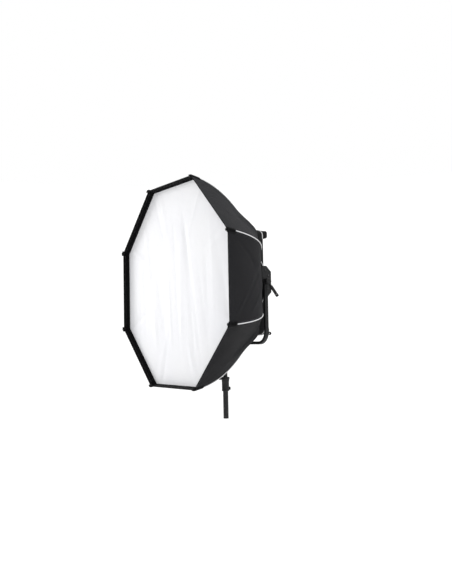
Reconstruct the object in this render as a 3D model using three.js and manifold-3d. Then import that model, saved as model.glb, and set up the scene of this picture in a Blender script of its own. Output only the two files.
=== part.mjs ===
// A studio softbox on its lamp, tilting yoke and the top of its column.
// Millimetres, +Z up. The front faces -Y, and the column's axis is the Z axis.
// The origin is the centre of the column's lower end.

import * as THREE from 'three';
import { mergeVertices } from 'three/addons/utils/BufferGeometryUtils.js';
import Module from 'manifold-3d';

const wasm = await Module();
wasm.setup();

// ---------------------------------------------------------------- driving dimensions

const R = 600;                      // centre to corner of the front octagon
const AXIS_Z = 740;                 // height of the tilt axis above the column's lower end
const FRONT_Y = -0.583 * R;         // front rim, ahead of the tilt axis
const GAP = 0.3;                    // gap between pieces that touch

// cloth shell
const CLOTH = 2;                    // cloth thickness
const SHELL_DEPTH = 0.555 * R;      // front rim to the rear end of the shell
const SEAM_INSET = 1.4;             // panel edge to the seam line
const ROD_RADIUS = 3.5;
const ROD_INSET = 9.5;              // seam line to the rod's axis
const COLLAR_HALF_X = 0.57 * R;
const COLLAR_HALF_Z = 0.465 * R;
const COLLAR_CORNER = 30;
const COLLAR_END_Y = 21;
const SIDE_SEAM_Z = 0.24 * R;       // rear end of the four side seams, above or below the axis
const TOP_SEAM_X = 0.47 * R;        // rear end of the four top and bottom seams
const SAG = 7;                      // how far a panel's middle is pulled in
const LIP_DEPTH = 0.057 * R;        // front rim to the diffuser
const LIP_WIDTH = 4;
const CAP_LENGTH = 52;              // corner cap along its seam
const CAP_REACH = 9;                // corner cap ahead of the rim

// Seam profiles, as the two inner control points of a cubic curve: depth as a part of R, and the
// part of the way from the front corner to the rear end.
const SIDE_PROFILE = [[0.229, 0.119], [0.537, 0.379]];
const TOP_PROFILE = [[0.262, 0.117], [0.416, 0.419]];

// speed ring and lamp
const RING_HALF_X = 326;
const RING_HALF_Z = 263;
const RING_WIDTH = 24;
const RING_Y = [-36, -5];
const SOCKET_RADIUS = 6;
const SOCKET_BORE = 4.8;
const SOCKET_LENGTH = 32;
const SOCKET_HOLD = 8;              // length of rod inside a socket
const LAMP_HALF_X = 329;
const LAMP_HALF_Z = 266;
const LAMP_CORNER = 16;
const LAMP_Y = [-4.7, 18];
const COVER_Y = [18.3, 20.7];
const GUARD = 40;                   // corner guard, each way
const GUARD_END_Y = 58;
const BOX_HALF_X = 140;
const BOX_HALF_Z = 92;
const BOX_END_Y = 66;

// yoke
const ARM_X = 385;                  // centre of an arm
const ARM_THICK = 16;
const ARM_DEPTH = 22;
const YOKE_DROP = 320;              // tilt axis down to the crossbar's centre
const YOKE_BEND = 60;               // bend radius at the tube's centre
const ARM_TOP = 20;                 // arm above the tilt axis
const BRACKET_X = [350, 371];
const BRACKET_HALF_Z = 84;
const BRACKET_Y = [-8, 50];
const BOLT_RADIUS = 5;

// column
const LOWER_RADIUS = 15;
const UPPER_RADIUS = 12.5;
const TUBE_WALL = 2;
const LOWER_TOP = 185;
const COLLAR_Z = [153, 231];
const FLANGE_Z = 217;
const COLLAR_RADIUS = 21.5;
const FLANGE_RADIUS = 24;
const UPPER_BOTTOM = 22;
const UPPER_TOP = 330;
const SPIGOT_RADIUS = 8;
const SPIGOT_TOP = 384;
const RECEIVER_Z = [336, AXIS_Z - YOKE_DROP - ARM_THICK / 2 - GAP];
const RECEIVER_RADIUS = 22;
const KNOB_Z = 224;                 // column knob's axis

// ---------------------------------------------------------------- materials

const finish = (color, roughness, metalness = 0) =>
  new THREE.MeshStandardMaterial({ color, roughness, metalness });

const looks = {
  cloth: finish(0x2e2d31, 0.9),
  trim: finish(0x111112, 0.8),
  diffuser: finish(0xf4f4f6, 0.95),
  steel: finish(0x8a8c90, 0.35, 0.9),
  blackMetal: finish(0x1b1c1e, 0.45, 0.6),
  plastic: finish(0x151517, 0.5),
  rubber: finish(0x0d0d0e, 0.85),
  board: finish(0xe8e4cf, 0.6),
};

const softbox = new THREE.Group();

const add = (name, geometry, material, parent = softbox) => {
  const mesh = new THREE.Mesh(geometry, material);
  mesh.name = name;
  parent.add(mesh);
  return mesh;
};

// ---------------------------------------------------------------- solids

const merged = (geometry) => {
  const bare = geometry.clone();
  for (const name of Object.keys(bare.attributes)) {
    if (name !== 'position') bare.deleteAttribute(name);
  }
  return mergeVertices(bare, 1e-3);
};

const toManifold = (geometry) => {
  const bare = merged(geometry);
  return new wasm.Manifold(new wasm.Mesh({
    numProp: 3,
    vertProperties: new Float32Array(bare.attributes.position.array),
    triVerts: new Uint32Array(bare.index.array),
  }));
};

const toGeometry = (manifold) => {
  const mesh = manifold.getMesh();
  const geometry = new THREE.BufferGeometry();
  geometry.setAttribute('position', new THREE.BufferAttribute(mesh.vertProperties, 3));
  geometry.setIndex(new THREE.BufferAttribute(mesh.triVerts, 1));
  geometry.computeVertexNormals();
  return geometry;
};

const join = (...geometries) => {
  const [first, ...rest] = geometries.map(toManifold);
  return toGeometry(rest.reduce((sum, piece) => sum.add(piece), first));
};

const cut = (geometry, ...tools) =>
  toGeometry(tools.map(toManifold).reduce((rest, tool) => rest.subtract(tool), toManifold(geometry)));

// A box given by its low and high corners.
const block = ([x0, y0, z0], [x1, y1, z1]) =>
  new THREE.BoxGeometry(x1 - x0, y1 - y0, z1 - z0)
    .translate((x0 + x1) / 2, (y0 + y1) / 2, (z0 + z1) / 2);

// A shape of revolution about Z, from a profile of [radius, z] that starts and ends on the axis
// or closes on itself.
const turned = (profile, sides = 18) =>
  new THREE.LatheGeometry(profile.map(([r, z]) => new THREE.Vector2(r, z)), sides).rotateX(Math.PI / 2);

const rod = (radius, z0, z1, sides = 18) =>
  turned([[0, z0], [radius, z0], [radius, z1], [0, z1]], sides);

const tube = (outer, inner, z0, z1, sides = 18) =>
  turned([[inner, z0], [outer, z0], [outer, z1], [inner, z1], [inner, z0]], sides);

// Turns a geometry that runs along Z so that it runs along a direction, and moves it.
const along = (geometry, direction, position = [0, 0, 0]) => {
  const turn = new THREE.Quaternion().setFromUnitVectors(
    new THREE.Vector3(0, 0, 1),
    new THREE.Vector3(...direction).normalize(),
  );
  return geometry.applyQuaternion(turn).translate(...position);
};

// A flat outline in the XZ plane, extruded from y0 to y1.
const plate = (shape, y0, y1, curveSegments = 5) =>
  new THREE.ExtrudeGeometry(shape, { depth: y1 - y0, bevelEnabled: false, curveSegments })
    .rotateX(Math.PI / 2)
    .translate(0, y1, 0);

const roundedRectangle = (halfX, halfZ, radius) => {
  const shape = new THREE.Shape();
  shape.moveTo(halfX, halfZ - radius);
  shape.absarc(halfX - radius, halfZ - radius, radius, 0, Math.PI / 2);
  shape.absarc(-halfX + radius, halfZ - radius, radius, Math.PI / 2, Math.PI);
  shape.absarc(-halfX + radius, -halfZ + radius, radius, Math.PI, 1.5 * Math.PI);
  shape.absarc(halfX - radius, -halfZ + radius, radius, 1.5 * Math.PI, 2 * Math.PI);
  shape.closePath();
  return shape;
};

const framed = (outer, inner) => {
  outer.holes.push(inner);
  return outer;
};

const octagon = (radius) => {
  const shape = new THREE.Shape();
  for (let k = 0; k < 8; k += 1) {
    const angle = (k + 0.5) * Math.PI / 4;
    const point = [radius * Math.cos(angle), radius * Math.sin(angle)];
    if (k === 0) shape.moveTo(...point);
    else shape.lineTo(...point);
  }
  shape.closePath();
  return shape;
};

// A closed sheet between two grids of points with the same rows and columns. Seen from outside, with
// rows running upwards and columns to the right, the outer grid faces the viewer.
const sheetBetween = (outer, inner) => {
  const rows = outer.length;
  const columns = outer[0].length;
  const points = [...outer.flat(), ...inner.flat()];
  const outerAt = (i, j) => i * columns + j;
  const innerAt = (i, j) => rows * columns + i * columns + j;
  const faces = [];
  const quad = (a, b, c, d) => faces.push(a, b, c, a, c, d);
  for (let i = 0; i + 1 < rows; i += 1) {
    for (let j = 0; j + 1 < columns; j += 1) {
      quad(outerAt(i, j), outerAt(i, j + 1), outerAt(i + 1, j + 1), outerAt(i + 1, j));
      quad(innerAt(i, j), innerAt(i + 1, j), innerAt(i + 1, j + 1), innerAt(i, j + 1));
    }
  }
  for (let j = 0; j + 1 < columns; j += 1) {
    quad(outerAt(0, j), innerAt(0, j), innerAt(0, j + 1), outerAt(0, j + 1));
    quad(outerAt(rows - 1, j + 1), innerAt(rows - 1, j + 1), innerAt(rows - 1, j), outerAt(rows - 1, j));
  }
  for (let i = 0; i + 1 < rows; i += 1) {
    quad(outerAt(i + 1, 0), innerAt(i + 1, 0), innerAt(i, 0), outerAt(i, 0));
    quad(outerAt(i, columns - 1), innerAt(i, columns - 1), innerAt(i + 1, columns - 1), outerAt(i + 1, columns - 1));
  }
  const geometry = new THREE.BufferGeometry();
  geometry.setAttribute('position', new THREE.Float32BufferAttribute(points.flatMap((p) => [p.x, p.y, p.z]), 3));
  geometry.setIndex(faces);
  geometry.computeVertexNormals();
  return geometry;
};

// ---------------------------------------------------------------- seams and panels

// Seams are numbered 0 to 7 anticlockwise as seen from the front, starting just above +X. Panel k
// lies between seams k and k + 1, so the even panels are the diagonal ones.
const seamAngle = (k) => (k + 0.5) * Math.PI / 4;
const isSideSeam = (k) => Math.abs(Math.cos(seamAngle(k))) > Math.abs(Math.sin(seamAngle(k)));

const seamFront = (k) => new THREE.Vector3(
  R * Math.cos(seamAngle(k)),
  FRONT_Y,
  AXIS_Z + R * Math.sin(seamAngle(k)),
);

const seamRear = (k) => {
  const signX = Math.sign(Math.cos(seamAngle(k)));
  const signZ = Math.sign(Math.sin(seamAngle(k)));
  const x = isSideSeam(k) ? COLLAR_HALF_X : TOP_SEAM_X;
  const z = isSideSeam(k) ? SIDE_SEAM_Z : COLLAR_HALF_Z;
  return new THREE.Vector3(signX * x, FRONT_Y + SHELL_DEPTH, AXIS_Z + signZ * z);
};

const cubic = (p0, p1, p2, p3, t) =>
  (1 - t) ** 3 * p0 + 3 * t * (1 - t) ** 2 * p1 + 3 * t * t * (1 - t) * p2 + t ** 3 * p3;

// The t in 0 to 1 at which a rising function reaches a value.
const solve = (rising, value) => {
  let low = 0;
  let high = 1;
  for (let i = 0; i < 40; i += 1) {
    const middle = (low + high) / 2;
    if (rising(middle) < value) low = middle;
    else high = middle;
  }
  return (low + high) / 2;
};

const profileDepth = ([[d1], [d2]], q) => cubic(0, d1 * R, d2 * R, SHELL_DEPTH, q);

// The point of seam k at t, from 0 at the front corner to 1 at the rear end. All seams are at the
// same depth at the same t, which is the side seams' own parameter.
const seamPoint = (k, t) => {
  const profile = isSideSeam(k) ? SIDE_PROFILE : TOP_PROFILE;
  const depth = profileDepth(SIDE_PROFILE, t);
  const q = isSideSeam(k) ? t : solve((value) => profileDepth(profile, value), depth);
  const point = seamFront(k).lerp(seamRear(k), cubic(0, profile[0][1], profile[1][1], 1, q));
  point.y = FRONT_Y + depth;
  return point;
};

// The rear edge of diagonal panel k: along the collar's rectangle and round its corner.
const collarPoint = (k, u) => {
  const start = seamRear(k);
  const end = seamRear((k + 1) % 8);
  const corner = new THREE.Vector3(
    Math.sign(start.x) * COLLAR_HALF_X,
    start.y,
    AXIS_Z + Math.sign(start.z - AXIS_Z) * COLLAR_HALF_Z,
  );
  const before = corner.clone().lerp(start, COLLAR_CORNER / corner.distanceTo(start));
  const after = corner.clone().lerp(end, COLLAR_CORNER / corner.distanceTo(end));
  const edge = new THREE.CurvePath();
  edge.add(new THREE.LineCurve3(start, before));
  edge.add(new THREE.QuadraticBezierCurve3(before, corner, after));
  edge.add(new THREE.LineCurve3(after, end));
  return edge.getPointAt(u);
};

// The point of panel k at u, from 0 at its first seam to 1 at its second, and t along the seams. A
// panel's middle is pulled in a little, and a diagonal panel swells to go round the lamp's corner.
const SWELL_START = 0.4;

const panelPoint = (k, u, t) => {
  const first = seamPoint(k, t);
  const second = seamPoint((k + 1) % 8, t);
  const point = first.clone().lerp(second, u);
  const middle = first.clone().add(second).multiplyScalar(0.5);
  const outward = new THREE.Vector3(middle.x, 0, middle.z - AXIS_Z).normalize();
  point.addScaledVector(outward, -SAG * 4 * u * (1 - u) * Math.sin(Math.PI * t) ** 2);
  if (k % 2 === 0) {
    const swell = collarPoint(k, u).sub(seamRear(k).lerp(seamRear((k + 1) % 8), u));
    point.addScaledVector(swell, THREE.MathUtils.smoothstep(t, SWELL_START, 1));
  }
  return point;
};

const panelNormal = (k, u, t) => {
  const step = 1e-3;
  const alongT = panelPoint(k, u, Math.min(1, t + step)).sub(panelPoint(k, u, Math.max(0, t - step)));
  const alongU = panelPoint(k, Math.min(1, u + step), t).sub(panelPoint(k, Math.max(0, u - step), t));
  return alongT.cross(alongU).normalize();
};

// The direction from seam k into the shell: the bisector of the two panels that meet there.
const BESIDE_SEAM = 0.08;

const seamInward = (k, t) => panelNormal((k + 7) % 8, 1 - BESIDE_SEAM, t)
  .add(panelNormal(k, BESIDE_SEAM, t))
  .normalize()
  .negate();

const steps = (count) => Array.from({ length: count + 1 }, (_, i) => i / count);

const PANEL_NAMES = [
  'panel_upper_right', 'panel_top', 'panel_upper_left', 'panel_left',
  'panel_lower_left', 'panel_bottom', 'panel_lower_right', 'panel_right',
];

const panelGeometry = (k) => {
  const acrossSteps = k % 2 === 0 ? 7 : 3;
  const grid = (offset) => steps(acrossSteps).map((across) => steps(12).map((t) => {
    const width = seamPoint(k, t).distanceTo(seamPoint((k + 1) % 8, t));
    const u = SEAM_INSET / width + across * (1 - 2 * SEAM_INSET / width);
    return panelPoint(k, u, t).addScaledVector(panelNormal(k, u, t), -offset);
  }));
  return sheetBetween(grid(0), grid(CLOTH));
};

// The t at which the seams reach a depth behind the front rim.
const atDepth = (depth) => solve((t) => profileDepth(SIDE_PROFILE, t), depth);

const rodPoint = (k, t) => seamPoint(k, t).addScaledVector(seamInward(k, t), ROD_INSET);

const circle = (radius, sides) => {
  const shape = new THREE.Shape();
  for (let i = 0; i < sides; i += 1) {
    const angle = 2 * Math.PI * i / sides;
    const point = [radius * Math.cos(angle), radius * Math.sin(angle)];
    if (i === 0) shape.moveTo(...point);
    else shape.lineTo(...point);
  }
  shape.closePath();
  return shape;
};

const ROD_START = LIP_DEPTH + 8;
const ROD_STEPS = 10;

const rodGeometry = (k) => {
  const start = atDepth(ROD_START);
  const points = steps(ROD_STEPS).map((f) => rodPoint(k, start + (1 - start) * f));
  return new THREE.ExtrudeGeometry(circle(ROD_RADIUS, 6), {
    steps: ROD_STEPS,
    extrudePath: new THREE.CatmullRomCurve3(points),
    bevelEnabled: false,
  });
};

// ---------------------------------------------------------------- corner caps

const CAP_HALF_WIDTH = 15;
const CAP_THICK = 2.6;
const CAP_OFFSET = 0.6;             // between the cap and the cloth
const NOSE_RADIUS = 7;

// A folded patch over seam k at the front, with a round nose that stands ahead of the rim.
const capGeometry = (k) => {
  const last = atDepth(CAP_LENGTH);
  const before = (k + 7) % 8;
  const across = [-1, -0.5, 0, 0.5, 1];
  const point = (a, t, offset) => {
    const panel = a < 0 ? before : k;
    const width = seamPoint(panel, t).distanceTo(seamPoint((panel + 1) % 8, t));
    const share = Math.abs(a) * CAP_HALF_WIDTH / width;
    const u = a < 0 ? 1 - share : share;
    if (a !== 0) return panelPoint(panel, u, t).addScaledVector(panelNormal(panel, u, t), offset);
    const fold = offset / Math.cos(Math.PI / 8);
    return seamPoint(k, t).addScaledVector(seamInward(k, t), -fold);
  };
  const column = (a, offset) => {
    const rim = point(a, 0, offset);
    const reach = rim.clone().setY(FRONT_Y - CAP_REACH);
    return [reach, rim, ...[1 / 3, 2 / 3, 1].map((f) => point(a, f * last, offset))];
  };
  const patch = sheetBetween(
    across.map((a) => column(a, CAP_OFFSET + CAP_THICK)),
    across.map((a) => column(a, CAP_OFFSET)),
  );
  const inward = new THREE.Vector3(-Math.cos(seamAngle(k)), 0, -Math.sin(seamAngle(k)));
  const centre = seamFront(k).addScaledVector(inward, NOSE_RADIUS - 1);
  const nose = along(rod(NOSE_RADIUS, 1, CAP_REACH + 2, 10), [0, -1, 0], [centre.x, FRONT_Y, centre.z]);
  return join(patch, nose);
};

// ---------------------------------------------------------------- softbox

PANEL_NAMES.forEach((name, k) => {
  add(name, panelGeometry(k), looks.cloth);
});

for (let k = 0; k < 8; k += 1) {
  add(`rod_${k + 1}`, rodGeometry(k), looks.steel);
  add(`corner_cap_${k + 1}`, capGeometry(k), looks.trim);
}

// An octagonal ring round the front axis, from a closed profile of [corner radius, depth].
const octagonRing = (profile) =>
  along(turned(profile, 8).rotateZ(Math.PI / 8), [0, 1, 0], [0, FRONT_Y, AXIS_Z]);

const LIP_TAPER = 10.5;             // the lip narrows with the shell
const LIP_RADIUS = R - (CLOTH + 0.6) / Math.cos(Math.PI / 8);
const lipProfile = [
  [LIP_RADIUS - LIP_WIDTH, 0],
  [LIP_RADIUS, 0],
  [LIP_RADIUS - LIP_TAPER, LIP_DEPTH],
  [LIP_RADIUS - LIP_TAPER - LIP_WIDTH, LIP_DEPTH],
  [LIP_RADIUS - LIP_WIDTH, 0],
];
add('front_lip', octagonRing(lipProfile), looks.trim);

const DIFFUSER_THICK = 1.5;
const DIFFUSER_Y = FRONT_Y + LIP_DEPTH + GAP;
add(
  'front_diffuser',
  plate(octagon(LIP_RADIUS - LIP_TAPER - LIP_WIDTH + 1), DIFFUSER_Y, DIFFUSER_Y + DIFFUSER_THICK).translate(0, 0, AXIS_Z),
  looks.diffuser,
);

const BAFFLE_DEPTH = 0.3 * R;
const BAFFLE_CLEAR = 20;            // seam to the baffle's corner
const baffleShape = new THREE.Shape(steps(7).map((f) => {
  const k = Math.round(7 * f);
  const t = atDepth(BAFFLE_DEPTH);
  const corner = seamPoint(k, t).addScaledVector(seamInward(k, t), BAFFLE_CLEAR);
  return new THREE.Vector2(corner.x, corner.z - AXIS_Z);
}));
add(
  'inner_baffle',
  plate(baffleShape, FRONT_Y + BAFFLE_DEPTH, FRONT_Y + BAFFLE_DEPTH + DIFFUSER_THICK).translate(0, 0, AXIS_Z),
  looks.diffuser,
);

const NOTCH_HALF_Z = 80;
const NOTCH_DEPTH = 24;
const notch = (side) =>
  along(rod(1, 0, 30, 20), [1, 0, 0]).scale(1, NOTCH_DEPTH, NOTCH_HALF_Z)
    .translate(side > 0 ? COLLAR_HALF_X - 15 : -COLLAR_HALF_X - 15, COLLAR_END_Y, AXIS_Z);
const collarBand = plate(
  framed(
    roundedRectangle(COLLAR_HALF_X, COLLAR_HALF_Z, COLLAR_CORNER),
    roundedRectangle(COLLAR_HALF_X - CLOTH, COLLAR_HALF_Z - CLOTH, COLLAR_CORNER - CLOTH),
  ),
  FRONT_Y + SHELL_DEPTH + GAP,
  COLLAR_END_Y,
  4,
).translate(0, 0, AXIS_Z);
add('rear_collar', cut(collarBand, notch(1), notch(-1)), looks.cloth);

// ---------------------------------------------------------------- speed ring

const socket = (k) => {
  const end = rodPoint(k, 1);
  const direction = rodPoint(k, 1).sub(rodPoint(k, 0.995));
  const floor = SOCKET_HOLD + 1;
  const cup = turned([
    [0, floor],
    [SOCKET_BORE, floor],
    [SOCKET_BORE, 0],
    [SOCKET_RADIUS, 0],
    [SOCKET_RADIUS, SOCKET_LENGTH],
    [0, SOCKET_LENGTH],
  ], 8).translate(0, 0, -SOCKET_HOLD);
  return along(cup, direction.toArray(), end.toArray());
};

const ringFrame = plate(
  framed(
    roundedRectangle(RING_HALF_X, RING_HALF_Z, 20),
    roundedRectangle(RING_HALF_X - RING_WIDTH, RING_HALF_Z - RING_WIDTH, 8),
  ),
  ...RING_Y,
).translate(0, 0, AXIS_Z);
const RING_WALL = 3;
const ringChannel = plate(
  framed(
    roundedRectangle(RING_HALF_X - RING_WALL, RING_HALF_Z - RING_WALL, 17),
    roundedRectangle(RING_HALF_X - RING_WIDTH + RING_WALL, RING_HALF_Z - RING_WIDTH + RING_WALL, 11),
  ),
  RING_Y[0] + RING_WALL,
  RING_Y[1] + 1,
).translate(0, 0, AXIS_Z);
const sockets = Array.from({ length: 8 }, (_, k) => socket(k));
add('speed_ring', join(cut(ringFrame, ringChannel), ...sockets), looks.blackMetal);

// ---------------------------------------------------------------- lamp

const lamp = new THREE.Group();
lamp.position.z = AXIS_Z;
softbox.add(lamp);

const LAMP_WALL = 4;
add('lamp_frame', plate(
  framed(
    roundedRectangle(LAMP_HALF_X, LAMP_HALF_Z, LAMP_CORNER),
    roundedRectangle(LAMP_HALF_X - LAMP_WALL, LAMP_HALF_Z - LAMP_WALL, LAMP_CORNER - LAMP_WALL),
  ),
  ...LAMP_Y,
), looks.blackMetal, lamp);

const innerPlate = (inset, y0, y1) => plate(
  roundedRectangle(LAMP_HALF_X - inset, LAMP_HALF_Z - inset, LAMP_CORNER - LAMP_WALL - 1),
  y0,
  y1,
);
add('lamp_diffuser', innerPlate(LAMP_WALL + 0.5, -4, -1.5), looks.diffuser, lamp);
add('led_board', innerPlate(LAMP_WALL + 3, 9, 11), looks.board, lamp);

const FIN_COUNT = 10;
const FIN_PITCH = 14;
const FIN_START = 160;
const FIN_THICK = 2.4;
const FIN_HALF_Z = 170;
const FIN_END_Y = 31;
const fins = [-1, 1].flatMap((side) => Array.from({ length: FIN_COUNT }, (_, i) => {
  const x = side * (FIN_START + i * FIN_PITCH);
  return block(
    [x - FIN_THICK / 2, COVER_Y[1] - 1, -FIN_HALF_Z],
    [x + FIN_THICK / 2, FIN_END_Y, FIN_HALF_Z],
  );
}));
const coverPlate = plate(roundedRectangle(LAMP_HALF_X, LAMP_HALF_Z, LAMP_CORNER), ...COVER_Y);
add('back_cover', join(coverPlate, ...fins), looks.blackMetal, lamp);

const GUARD_OUT = 10;               // guard beyond the lamp's outline
const GUARD_CORNER = 10;
[[1, 1, 'upper_right'], [-1, 1, 'upper_left'], [-1, -1, 'lower_left'], [1, -1, 'lower_right']]
  .forEach(([signX, signZ, place]) => {
    const shape = roundedRectangle(GUARD / 2, GUARD / 2, GUARD_CORNER);
    const guard = plate(shape, COVER_Y[1] + GAP, GUARD_END_Y, 4).translate(
      signX * (LAMP_HALF_X + GUARD_OUT - GUARD / 2),
      0,
      signZ * (LAMP_HALF_Z + GUARD_OUT - GUARD / 2),
    );
    add(`corner_guard_${place}`, guard, looks.rubber, lamp);
  });

// control box: a casing open towards the back cover, with its controls in the rear wall
const BOX_START_Y = COVER_Y[1] + GAP;
const BOX_WALL = 3;
const DIAL_X = 85;
const DIAL_Z = [42, -12];
const DIAL_RADIUS = 15;
const DIAL_SHAFT = 3;
const SWITCH_AT = [-95, -50];
const SWITCH_HALF = [10, 7];
const INLET_AT = [-40, -50];
const INLET_HALF = [15, 11];

const wallOpening = ([x, z], [halfX, halfZ]) =>
  block([x - halfX, BOX_END_Y - 5, z - halfZ], [x + halfX, BOX_END_Y + 1, z + halfZ]);
const grown = (half, by) => half.map((value) => value + by);
const dialHole = (z) => along(rod(DIAL_SHAFT + 0.4, 0, 6, 12), [0, 1, 0], [DIAL_X, BOX_END_Y - 5, z]);

add('control_box', cut(
  plate(roundedRectangle(BOX_HALF_X, BOX_HALF_Z, 12), BOX_START_Y, BOX_END_Y),
  block(
    [-BOX_HALF_X + BOX_WALL, BOX_START_Y - 1, -BOX_HALF_Z + BOX_WALL],
    [BOX_HALF_X - BOX_WALL, BOX_END_Y - BOX_WALL, BOX_HALF_Z - BOX_WALL],
  ),
  ...DIAL_Z.map(dialHole),
  wallOpening(SWITCH_AT, grown(SWITCH_HALF, 0.8)),
  wallOpening(INLET_AT, grown(INLET_HALF, GAP)),
), looks.plastic, lamp);

const dial = turned([
  [0, -9],
  [DIAL_SHAFT, -9],
  [DIAL_SHAFT, 0.5],
  [DIAL_RADIUS, 0.5],
  [DIAL_RADIUS, 12],
  [DIAL_RADIUS - 2, 14],
  [0, 14],
]);
['dimmer_dial', 'colour_dial'].forEach((name, i) => {
  add(name, along(dial.clone(), [0, 1, 0], [DIAL_X, BOX_END_Y, DIAL_Z[i]]), looks.plastic, lamp);
});

// The rocker is built about its pivot, an X axis in the middle of the wall, and rests tipped.
const SWITCH_REACH = 4;
const SWITCH_TIP = 8 * Math.PI / 180;
const rocker = add('power_switch', block(
  [-SWITCH_HALF[0], -SWITCH_REACH, -SWITCH_HALF[1] + 0.6],
  [SWITCH_HALF[0], SWITCH_REACH, SWITCH_HALF[1] - 0.6],
), looks.plastic, lamp);
rocker.position.set(SWITCH_AT[0], BOX_END_Y - BOX_WALL / 2, SWITCH_AT[1]);
rocker.rotation.x = -SWITCH_TIP;

const INLET_DEPTH = 22;
const INLET_WALL = 2;
add('power_inlet', cut(
  block(
    [INLET_AT[0] - INLET_HALF[0], BOX_END_Y - INLET_DEPTH, INLET_AT[1] - INLET_HALF[1]],
    [INLET_AT[0] + INLET_HALF[0], BOX_END_Y + 1.5, INLET_AT[1] + INLET_HALF[1]],
  ),
  block(
    [INLET_AT[0] - INLET_HALF[0] + INLET_WALL, BOX_END_Y - INLET_DEPTH + 3, INLET_AT[1] - INLET_HALF[1] + INLET_WALL],
    [INLET_AT[0] + INLET_HALF[0] - INLET_WALL, BOX_END_Y + 3, INLET_AT[1] + INLET_HALF[1] - INLET_WALL],
  ),
), looks.plastic, lamp);

// ---------------------------------------------------------------- tilt brackets, bolts, lever

const NECK_Y = [3, 18];
const NECK_HALF_Z = 45;
const BRACKET_CHAMFER = 30;         // how far its rear corners are cut back, along the bracket and across
const BORE_FLOOR = 352;

const bracketGeometry = (side) => {
  const [front, rear] = BRACKET_Y;
  const outline = new THREE.Shape([
    [front, -BRACKET_HALF_Z],
    [rear - BRACKET_CHAMFER, -BRACKET_HALF_Z],
    [rear, -BRACKET_HALF_Z + BRACKET_CHAMFER],
    [rear, BRACKET_HALF_Z - BRACKET_CHAMFER],
    [rear - BRACKET_CHAMFER, BRACKET_HALF_Z],
    [front, BRACKET_HALF_Z],
  ].map(([y, z]) => new THREE.Vector2(y, z)));
  const thick = BRACKET_X[1] - BRACKET_X[0];
  const hexagon = plate(outline, -thick, 0).rotateZ(Math.PI / 2).translate(BRACKET_X[0], 0, 0);
  const neck = block([LAMP_HALF_X + GAP, NECK_Y[0], -NECK_HALF_Z], [BRACKET_X[0] + 2, NECK_Y[1], NECK_HALF_Z]);
  const bore = along(rod(BOLT_RADIUS + GAP, BORE_FLOOR, BRACKET_X[1] + 1, 16), [1, 0, 0]);
  const bracket = cut(join(hexagon, neck), bore);
  return side > 0 ? bracket : mirrored(bracket);
};

// Reflects a geometry in the YZ plane and turns its faces the right way out again.
const mirrored = (geometry) => {
  const copy = merged(geometry).scale(-1, 1, 1);
  const index = copy.index.array;
  for (let i = 0; i < index.length; i += 3) {
    [index[i], index[i + 1]] = [index[i + 1], index[i]];
  }
  copy.computeVertexNormals();
  return copy;
};

const ARM_INNER = ARM_X - ARM_THICK / 2;
const ARM_OUTER = ARM_X + ARM_THICK / 2;
const WASHER_RADIUS = 14;
const BOLT_END = 411;
const boltGeometry = () => along(turned([
  [0, BORE_FLOOR + GAP],
  [BOLT_RADIUS, BORE_FLOOR + GAP],
  [BOLT_RADIUS, BRACKET_X[1] + GAP],
  [WASHER_RADIUS, BRACKET_X[1] + GAP],
  [WASHER_RADIUS, ARM_INNER - GAP],
  [BOLT_RADIUS, ARM_INNER - GAP],
  [BOLT_RADIUS, BOLT_END],
  [0, BOLT_END],
], 20), [1, 0, 0]);

const HUB_RADIUS = 17;
const HUB_END = 419;
const hubGeometry = (radius) => along(turned([
  [BOLT_RADIUS + 0.4, ARM_OUTER + 0.4],
  [radius, ARM_OUTER + 0.4],
  [radius, HUB_END - 4],
  [radius - 4, HUB_END],
  [0, HUB_END],
  [0, BOLT_END + 1],
  [BOLT_RADIUS + 0.4, BOLT_END + 1],
  [BOLT_RADIUS + 0.4, ARM_OUTER + 0.4],
], 20), [1, 0, 0]);

const LEVER_TIP = [434, 41, -80];
const LEVER_ROOT = [406, 0, 0];
const leverGeometry = () => {
  const direction = LEVER_TIP.map((value, i) => value - LEVER_ROOT[i]);
  const length = Math.hypot(...direction);
  const handle = turned([[0, 6], [6, 8], [6.5, 30], [8, length - 5], [5, length], [0, length + 1]], 16);
  return join(hubGeometry(HUB_RADIUS), along(handle, direction, LEVER_ROOT));
};

[[1, 'right'], [-1, 'left']].forEach(([side, place]) => {
  add(`tilt_bracket_${place}`, bracketGeometry(side), looks.blackMetal, lamp);
  add(`pivot_bolt_${place}`, side > 0 ? boltGeometry() : mirrored(boltGeometry()), looks.steel, lamp);
});
add('tilt_lever', leverGeometry(), looks.plastic, lamp);
add('tilt_knob', mirrored(hubGeometry(HUB_RADIUS + 4)), looks.plastic, lamp);

// ---------------------------------------------------------------- yoke

const yokeShape = () => {
  const bottom = -YOKE_DROP;
  const outerX = ARM_OUTER;
  const innerX = ARM_INNER;
  const outerR = YOKE_BEND + ARM_THICK / 2;
  const innerR = YOKE_BEND - ARM_THICK / 2;
  const low = bottom - ARM_THICK / 2;
  const high = bottom + ARM_THICK / 2;
  const shape = new THREE.Shape();
  shape.moveTo(outerX, ARM_TOP);
  shape.lineTo(innerX, ARM_TOP);
  shape.lineTo(innerX, high + innerR);
  shape.absarc(innerX - innerR, high + innerR, innerR, 0, -Math.PI / 2, true);
  shape.lineTo(-innerX + innerR, high);
  shape.absarc(-innerX + innerR, high + innerR, innerR, -Math.PI / 2, -Math.PI, true);
  shape.lineTo(-innerX, ARM_TOP);
  shape.lineTo(-outerX, ARM_TOP);
  shape.lineTo(-outerX, low + outerR);
  shape.absarc(-outerX + outerR, low + outerR, outerR, Math.PI, 1.5 * Math.PI);
  shape.lineTo(outerX - outerR, low);
  shape.absarc(outerX - outerR, low + outerR, outerR, 1.5 * Math.PI, 2 * Math.PI);
  shape.closePath();
  return shape;
};

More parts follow.
